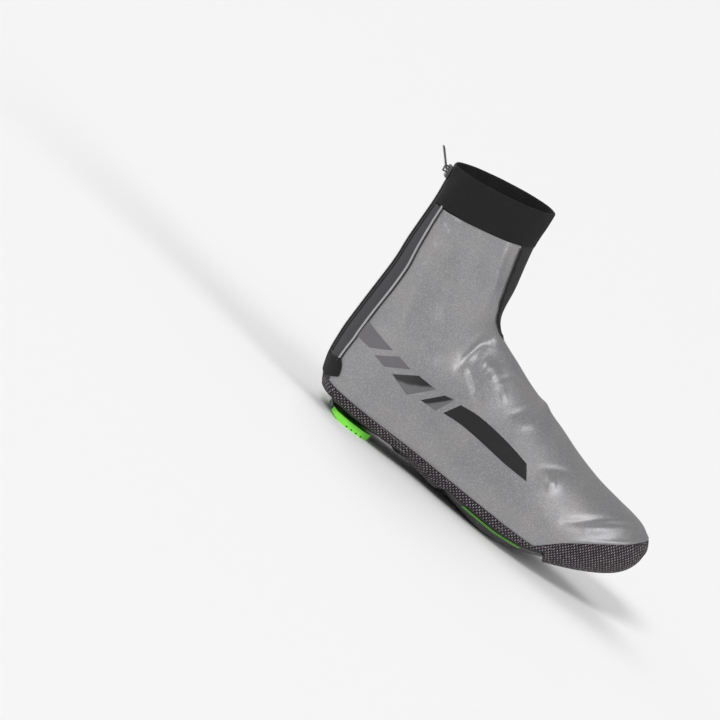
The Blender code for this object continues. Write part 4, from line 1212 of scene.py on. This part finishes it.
def cutLoops(mesh):
    # closed lines round the openings, on the outer face and half way through the wall
    bm = bmesh.new()
    bm.from_mesh(mesh)
    cutIndices = {i for i, mat in enumerate(mesh.materials) if mat == bindingTape}
    links, inner = {}, {}
    for edge in bm.edges:
        skin = [face for face in edge.link_faces if face.material_index not in cutIndices]
        if len(edge.link_faces) != 2 or len(skin) != 1:
            continue
        if not facesOut(skin[0].calc_center_median(), skin[0].normal):
            inner.update((v.index, v.co.copy()) for v in edge.verts)
            continue
        a, b = edge.verts
        links.setdefault(a.index, []).append(b.index)
        links.setdefault(b.index, []).append(a.index)
    bm.verts.ensure_lookup_table()
    inner = np.array(list(inner.values()))
    loops = []
    for chain in chainsOf(links):
        if len(chain) > 30:
            outer = np.array([bm.verts[i].co for i in chain])
            nearest = [inner[np.argmin(np.linalg.norm(inner - p, axis=1))] for p in outer]
            loops.append((outer, (outer + np.array(nearest)) / 2))
    bm.free()
    return loops


def evenLoop(points, spacing, smooth):
    closed = np.concatenate([points, points[:1]])
    run = runAlong(closed)
    count = int(run[-1] / spacing)
    places = np.arange(count) * run[-1] / count
    line = np.column_stack([np.interp(places, run, closed[:, k]) for k in range(3)])
    for _ in range(smooth):
        line = (np.roll(line, 1, axis=0) + 2 * line + np.roll(line, -1, axis=0)) / 4
    return line


def hemRows(tree, edge, away):
    # runs of places on the outer face, so far from a cut edge, with their outward directions;
    # a run shorter than the least goes on across a gap
    least = 7
    runs = [[]]
    ahead = np.roll(edge, -1, axis=0) - np.roll(edge, 1, axis=0)
    for p, t in zip(edge, ahead):
        across = Vector(tree.find_nearest(Vector(p))[1]).cross(Vector(t)).normalized()
        tries = [tree.find_nearest(Vector(p) + across * away * sign) for sign in (1, -1)]
        place, normal, _, gap = min(tries, key=lambda found: found[3])
        if gap < away * 0.45 and facesOut(place, normal):
            runs[-1].append((place + normal * 0.0001, normal))
        elif len(runs[-1]) >= least:
            runs.append([])
    return [np.array(run) for run in runs if len(run) >= least]


def buildHems():
    tree = BVHTree.FromPolygons([v.co for v in underPanel.data.vertices],
                                [p.vertices for p in underPanel.data.polygons])
    bound, stitches = [], []
    for outer, middle in cutLoops(underPanel.data):
        line = evenLoop(middle, hem["spacing"], 3)
        bound.append(tube(np.concatenate([line, line[:2]]), hem["binding"], 8))
        edge = evenLoop(outer, hem["spacing"], 2)
        for away in hem["rows"]:
            for run in hemRows(tree, edge, away):
                stitches += stitchRun(run[:, 0], run[:, 1], **hem["stitch"])
    print("hem loops", len(bound), "stitches", len(stitches))
    put(joined("hemBinding", bound, [bindingTape]), "overshoe", "woven")
    put(joined("hemStitches", stitches, [greyThread]), "overshoe", "woven")


buildHems()

toeDart = {"rows": (1.9, 4.2), "points": 24, "radius": 0.0009, "proud": 0.0002}  # short seam under the toe


def buildToeDart():
    rows = np.linspace(*toeDart["rows"], toeDart["points"])
    line = cloth(rows, np.zeros(len(rows)), -1, toeDart["proud"], crease=0.0)
    put(joined("toeDart", [tube(line, toeDart["radius"], 8)], [blackThread]), "overshoe", "woven")


buildToeDart()
print("under panel", len(underPanel.data.polygons))

# Heel patch, zip tape and coil

patch = {
    "wall": 0.0010,
    "proud": 0.0013,
    "rows": 26,
    "columns": 30,
    "taper": 0.22,
    "edgeRoll": (-0.0004, 0.0, 0.0008),
    "stitchGroove": (-0.0002, 0.0026, 0.0006),
}


def shareForY(s, y):
    # share at which the outer side lies so far from the back line
    shares = np.linspace(0, 0.5, 300)
    line = lookUp(skinPlaces[-1], np.full(len(shares), s), shares)
    return float(np.interp(y, np.abs(line[:, 1]), shares))


def buildHeelPatch():
    seamBack = seamHeel + 0.03
    top = rowWhere(lambda s: float(cloth(s, 0.0, -1, crease=0.0)[2]) > shoe["patchTop"], seamBack, 17.0)
    rows = np.linspace(seamBack, top, patch["rows"])
    last = patch["rows"] - 1
    n = patch["columns"]
    k, side = columnsOf(n)
    outer, inner, uvs = [], [], []
    for j, s in enumerate(rows):
        wide = shoe["patchHalfWidth"] * (1 - patch["taper"] * (j / last) ** 3)
        reach = shareForY(s, wide)
        q = np.abs(k) / n * reach
        edge = np.minimum((1 - np.abs(k) / n) * wide, np.minimum(j, last - j) * 0.0009)
        proud = (patch["proud"] + softRidge(edge, *patch["edgeRoll"])
                 + softRidge(edge, *patch["stitchGroove"]))
        outer.append(cloth(s, q, side, proud))
        inner.append(cloth(s, q, side, patch["proud"] - patch["wall"]))
        uvs.append(np.column_stack([q * arcAt(s, -1) * side, np.full(len(k), s * 0.012)]))
    put(wallBetween("heelPatch", np.array(outer), np.array(inner), [patchKnit], 0, np.array(uvs)),
        "overshoe", "woven", "heel_patch")


buildHeelPatch()

zipper = {
    "fromRow": 14.35,
    "tapeHalf": 0.0042,
    "tapeSpacing": 0.0018,
    "tapeProud": (0.0009, 0.0003),  # outer and inner face
    "tapeRib": (0.0002, 0.0034, 0.0004),
    "coilStop": 0.5,  # rows under the rim where the slider hides the coil
    "coilProud": 0.0012,
    "coilPitch": 0.0014,
    "coilWire": 0.00038,
}


def buildZipTape():
    rows = evenRows(zipper["fromRow"], shoe["topRow"] - 0.03, zipper["tapeSpacing"])
    n = 6
    k, side = columnsOf(n)
    reach = np.abs(k) / n * zipper["tapeHalf"]
    face, back = zipper["tapeProud"]
    proud = face + softRidge(reach, *zipper["tapeRib"])
    outer, inner, uvs = [], [], []
    for j, s in enumerate(rows):
        q = reach / arcAt(s, -1)
        outer.append(cloth(s, q, side, proud))
        inner.append(cloth(s, q, side, back))
        uvs.append(np.column_stack([reach * side, np.full(len(k), j * zipper["tapeSpacing"])]))
    put(wallBetween("zipTape", np.array(outer), np.array(inner), [tapeKnit], 0, np.array(uvs)),
        "overshoe", "zip_tape", "zip_chain")


def buildZipCoil():
    rows = evenRows(zipper["fromRow"], shoe["topRow"] - zipper["coilStop"], 0.0004)
    line, outs = lineOn(rows, np.zeros(len(rows)), -1, zipper["coilProud"])
    run = runAlong(line)
    t = np.linspace(0, 1, 6)
    loops = []
    for at in (np.arange(int(run[-1] / zipper["coilPitch"])) + 0.5) * zipper["coilPitch"]:
        place, outward = pointAt(at, run, line), pointAt(at, run, outs)
        ahead = pointAt(at + 0.0004, run, line) - place
        ahead /= np.linalg.norm(ahead)
        for turn in (-1, 1):
            path = (place + np.outer((t * 0.0019 - 0.0003) * turn, (0, 1, 0))
                    + np.outer(0.0006 * np.sin(t * math.pi), outward)
                    + np.outer((t - 0.5) * 0.0003 + 0.00035 * turn, ahead))
            loops.append(tube(path, zipper["coilWire"], 6, np.tile(outward, (6, 1))))
    put(joined("zipCoil", loops, [coilNylon]), "overshoe", "zip_tape")


buildZipTape()
buildZipCoil()
print("patch and zip")

# Sole unit: outsole, insole and lime strip

sole = {
    "columns": 40,
    "spacing": 0.0032,
    "ridges": ((0.0052, 0.0008), (0.0074, 0.0008), (0.0122, 0.0007)),  # grooves of the side: height, depth
    "ridgeHalf": 0.0006,
    "flatRear": 0.160,
    "flatFront": 0.196,
    "flatDrop": 0.0013,
    "flatRunout": 0.015,
    "flatHeight": 0.005,
}
bolts = {"front": (0.203, 0.0), "rearOuter": (0.172, -0.019), "rearInner": (0.172, 0.019)}
pocket = {"radius": 0.0045, "base": 0.0006, "depth": 0.0043}
slots = {"names": (("longSlot", 0.050, -1), ("shortSlot", 0.023, 1)), "behindMiddle": 0.0042,
         "across": 0.0073, "width": 0.0062, "depth": 0.0030}
recess = {"rear": 0.124, "front": 0.139, "rearHalf": 0.006, "frontHalf": 0.0025, "depth": 0.0060}
scaleLines = {"count": 6, "first": 0.172, "pitch": 0.0044, "width": 0.0008, "sides": (-0.0335, -0.0275),
              "depth": 0.0009}


def levelShare(s, side, depth, level, top=0.6):
    # share at which a form so deep under the cloth rises past a level
    q = np.linspace(0, top, 240)
    p = cloth(s, q, side, -depth, crease=0.0)
    over = p[:, 2] - (level + rise(soleRise, p[:, 0]))
    crossing = np.nonzero(over >= 0)[0]
    if len(crossing) == 0:
        return top
    if crossing[0] == 0:
        return 0.0
    i = crossing[0]
    return float(q[i - 1] + (q[i] - q[i - 1]) * over[i - 1] / (over[i - 1] - over[i]))


def soleRows(depth, level, spacing):
    def over(s):
        p = cloth(s, 0.0, -1, -depth, crease=0.0)
        return float(p[2]) - level - float(rise(soleRise, p[0]))
    start = rowWhere(lambda s: over(s) < 0, 0.4, 4.0) + 0.03
    end = rowWhere(lambda s: over(s) > 0, 11.0, 15.0) - 0.01
    return evenRows(start, end, spacing)


def prism(name, outline, high, low=-0.006):
    # upright cutter that starts below the floor, its outline measured from the back of the heel
    n = len(outline)
    shift = shoe["heelSeatBack"]
    points = [(x - shift, y, z) for z in (low, high) for x, y in outline]
    faces = [tuple(range(n))[::-1], tuple(range(n, 2 * n))]
    faces += [(i, (i + 1) % n, n + (i + 1) % n, n + i) for i in range(n)]
    return makeMesh(name, points, faces, [], flat=True)


def circle(x, y, radius, count=32):
    turn = np.arange(count) * 2 * math.pi / count
    return [(x + radius * math.cos(a), y + radius * math.sin(a)) for a in turn]


def slotLoop(x, y, length, width, count=10):
    points = []
    for end in (1, -1):
        for i in range(count + 1):
            a = -end * math.pi / 2 + math.pi * i / count
            middle = x + end * (length - width) / 2
            points.append((middle + width / 2 * math.cos(a), y + width / 2 * math.sin(a)))
    return points


def soleCutters():
    cutters = []
    for name, (x, y) in bolts.items():
        base = float(np.interp(x / shoe["footLength"], *zip(*soleRise))) * shoe["instepHeight"]
        top = base + pocket["base"] + pocket["depth"]
        cutters.append(prism(name + "Cut", circle(x, y, pocket["radius"]), top))
    middle = (bolts["front"][0] + bolts["rearOuter"][0]) / 2 - slots["behindMiddle"]
    for name, length, side in slots["names"]:
        outline = slotLoop(middle, side * slots["across"], length, slots["width"])
        cutters.append(prism(name, outline, slots["depth"]))
    rear, front = (recess["rear"], recess["rearHalf"]), (recess["front"], recess["frontHalf"])
    outline = [(rear[0], -rear[1]), (front[0], -front[1]), front, rear]
    cutters.append(prism("archRecess", outline, recess["depth"]))
    low, high = scaleLines["sides"]
    for j in range(scaleLines["count"]):
        x = scaleLines["first"] + scaleLines["pitch"] * j
        after = x + scaleLines["width"]
        cutters.append(prism(f"scale{j}", [(x, low), (after, low), (after, high), (x, high)],
                             scaleLines["depth"]))
    return cutters


def buildOutsole():
    depth = shoe["soleDepth"]
    seat = shoe["treadHeight"] + 0.0003
    n = sole["columns"]
    outer, inner, uvs = [], [], []
    k, side = columnsOf(n)
    for j, s in enumerate(soleRows(depth, shoe["soleEdge"], sole["spacing"])):
        reach = {one: levelShare(s, one, depth, shoe["soleEdge"]) for one in (-1, 1)}
        q = np.abs(k) / n * np.where(side < 0, reach[-1], reach[1])
        p = cloth(s, q, side, -depth, crease=0.0)
        above = p[:, 2] - rise(soleRise, p[:, 0])
        cut = sum(softRidge(above, deep, height, sole["ridgeHalf"]) for height, deep in sole["ridges"])
        wallShare = smoothStep((np.abs(k) / n - 0.45) / 0.2)
        p = cloth(s, q, side, -depth - cut * wallShare, crease=0.0)
        x = p[:, 0] + shoe["heelSeatBack"]
        lowest = np.where(x < shoe["strapRear"] - shoe["hemHeight"], seat, 0.0)
        drop = (smoothStep((x - sole["flatRear"]) / sole["flatRunout"] + 1)
                * smoothStep((sole["flatFront"] - x) / sole["flatRunout"] + 1)
                * smoothStep(1 - p[:, 2] / sole["flatHeight"]))
        p[:, 2] = np.maximum(p[:, 2] - sole["flatDrop"] * drop, lowest)
        t = (k + n) / (2 * n)
        outer.append(p)
        inner.append(p[0] + t[:, None] * (p[-1] - p[0]))
        uvs.append(np.column_stack([q * arcAt(s, -1) * side, np.full(len(k), j * sole["spacing"])]))
    obj = wallBetween("outsoleShell", np.array(outer), np.array(inner), [soleNylon], 0, np.array(uvs))
    cutWith(obj, soleCutters())
    obj.data.set_sharp_from_angle(angle=math.radians(35))
    return put(obj, "overshoe", "nylon", "outsole")


outsoleShell = buildOutsole()
print("outsole", len(outsoleShell.data.polygons))


insole = {"fromWall": 0.0025, "overSole": 0.0006, "thick": 0.0030, "crown": 0.0006, "spacing": 0.004,
          "columns": 33}


def buildInsole():
    depth = shoe["wall"] + insole["fromWall"]
    level = shoe["soleEdge"] + insole["overSole"]
    t = np.linspace(0, 1, insole["columns"])
    height = insole["thick"] - insole["crown"] * np.sin(t * math.pi) ** 0.5
    outer, inner, uvs = [], [], []
    for j, s in enumerate(soleRows(depth, level, insole["spacing"])):
        ends = [cloth(s, levelShare(s, side, depth, level), side, -depth, crease=0.0) for side in (-1, 1)]
        low = ends[0] + t[:, None] * (ends[1] - ends[0])
        outer.append(low + height[:, None] * np.array((0, 0, 1.0)))
        inner.append(low)
        uvs.append(np.column_stack([low[:, 1], np.full(len(t), j * insole["spacing"])]))
    obj = wallBetween("footbed", np.array(outer), np.array(inner), [footbedCloth], 0, np.array(uvs))
    put(obj, "overshoe", "foam", "insole")


buildInsole()


lime = {"front": 0.205, "rear": 0.148, "levels": (0.0086, 0.0104), "points": 60, "across": 9,
        "proud": 0.0007, "gap": 0.0003, "bulge": 0.0004}


def buildLimeStrip():
    depth = shoe["soleDepth"]
    n = lime["across"]

    def rowAt(x, high):
        limit = x - shoe["heelSeatBack"]
        return rowWhere(lambda s: float(cloth(s, 0.2, -1, crease=0.0)[0]) < limit, 2.0, high)

    bulge = lime["bulge"] * np.sin(np.linspace(0, math.pi, n))
    outer, inner, uvs = [], [], []
    for s in np.linspace(rowAt(lime["front"], 9.0), rowAt(lime["rear"], 10.0), lime["points"]):
        low, high = (levelShare(s, -1, depth, level) for level in lime["levels"])
        q = np.linspace(low, high, n)
        outer.append(cloth(s, q, -1, -depth + lime["proud"] + bulge, crease=0.0))
        inner.append(cloth(s, q, -1, -depth + lime["gap"], crease=0.0))
        uvs.append(np.column_stack([np.linspace(0, 0.003, n), np.full(n, s * 0.027)]))
    # the strip's lime carries painted shade from the hem over it
    put(wallBetween("limeStrip", np.array(outer), np.array(inner), [limeShadedEdge], 0, np.array(uvs)),
        "overshoe", "lime", "foxing_strip")


buildLimeStrip()
print("sole unit")

carriedFinish = {"heel_tread": limeRubber, "heel_pad": greyPad, "heel_screw": darkSteel,
                 "insert_front": darkSteel, "insert_rear_outer": darkSteel, "insert_rear_inner": darkSteel,
                 "zip_slider": darkSteel, "zip_pull": darkSteel}
for node, mat in carriedFinish.items():
    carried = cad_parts[node]
    carried.data.materials.clear()
    carried.data.materials.append(mat)
print("carried pieces")

# Camera, lights and floor

view = {
    "azimuth": -14.0,
    "elevation": 10.0,
    "roll": 39.98,
    "picture": 720,
    "metresPerPixel": 0.000773,
    "distance": 2.4,
    "anchor": (-0.045, 0.0, -0.00345),  # place under the back of the heel, and its pixel
    "anchorPixel": (298.95, 390.0),
    "middle": (0.06, 0.0, 0.09),
}


def buildCamera():
    a, e, roll = (math.radians(view[k]) for k in ("azimuth", "elevation", "roll"))
    back = Vector((math.sin(a) * math.cos(e), -math.cos(a) * math.cos(e), math.sin(e)))
    right = Vector((math.cos(a), math.sin(a), 0.0))
    up = back.cross(right)
    across = right * math.cos(roll) + up * math.sin(roll)
    above = up * math.cos(roll) - right * math.sin(roll)
    anchor, middle = Vector(view["anchor"]), Vector(view["middle"])
    scale = view["metresPerPixel"]
    dx = (view["anchorPixel"][0] - view["picture"] / 2) * scale
    dy = (view["picture"] / 2 - view["anchorPixel"][1]) * scale
    aim = anchor - across * dx - above * dy
    aim += back * (middle - aim).dot(back)
    camera = bpy.data.objects.new("photoCamera", bpy.data.cameras.new("photoCamera"))
    bpy.context.scene.collection.objects.link(camera)
    turn = Matrix((across, above, back)).transposed().to_4x4()
    turn.translation = aim + back * view["distance"]
    camera.matrix_world = turn
    camera.data.sensor_width = 36.0
    camera.data.lens = 36.0 * view["distance"] / (view["picture"] * scale)
    camera.data.clip_end = 600.0
    bpy.context.scene.camera = camera


buildCamera()

studio = {
    "suns": (("keyLight", (-0.54, -0.62, 0.57), 1.75, 18), ("fillLight", (0.70, -0.60, 0.50), 0.95, 30),
             ("topLight", (-0.25, 0.55, 0.80), 0.70, 40)),  # name, from where, strength, spread in degrees
    "world": 0.36,
    "floor": (0.93, 0.93, 0.93),
    "reach": 150,
}


def softSun(name, fromPlace, strength, spread):
    lamp = bpy.data.lights.new(name, "SUN")
    lamp.energy = strength
    lamp.angle = math.radians(spread)
    obj = bpy.data.objects.new(name, lamp)
    bpy.context.scene.collection.objects.link(obj)
    obj.rotation_euler = Vector(fromPlace).to_track_quat("Z", "Y").to_euler()


def buildStudio():
    for sun in studio["suns"]:
        softSun(*sun)
    world = bpy.data.worlds.new("studio")
    world.use_nodes = True
    background = world.node_tree.nodes["Background"]
    background.inputs["Color"].default_value = (1, 1, 1, 1)
    background.inputs["Strength"].default_value = studio["world"]
    bpy.context.scene.world = world
    far = studio["reach"]
    mesh = bpy.data.meshes.new("studioFloor")
    mesh.from_pydata([(-far, -far, 0), (far, -far, 0), (far, far, 0), (-far, far, 0)], [], [(0, 1, 2, 3)])
    mesh.materials.append(material("paleFloor", studio["floor"], 0.9)[0])
    studioFloor = bpy.data.objects.new("studioFloor", mesh)
    bpy.context.scene.collection.objects.link(studioFloor)
    bpy.context.scene.view_settings.view_transform = "Standard"


buildStudio()
print("camera, lights and floor")
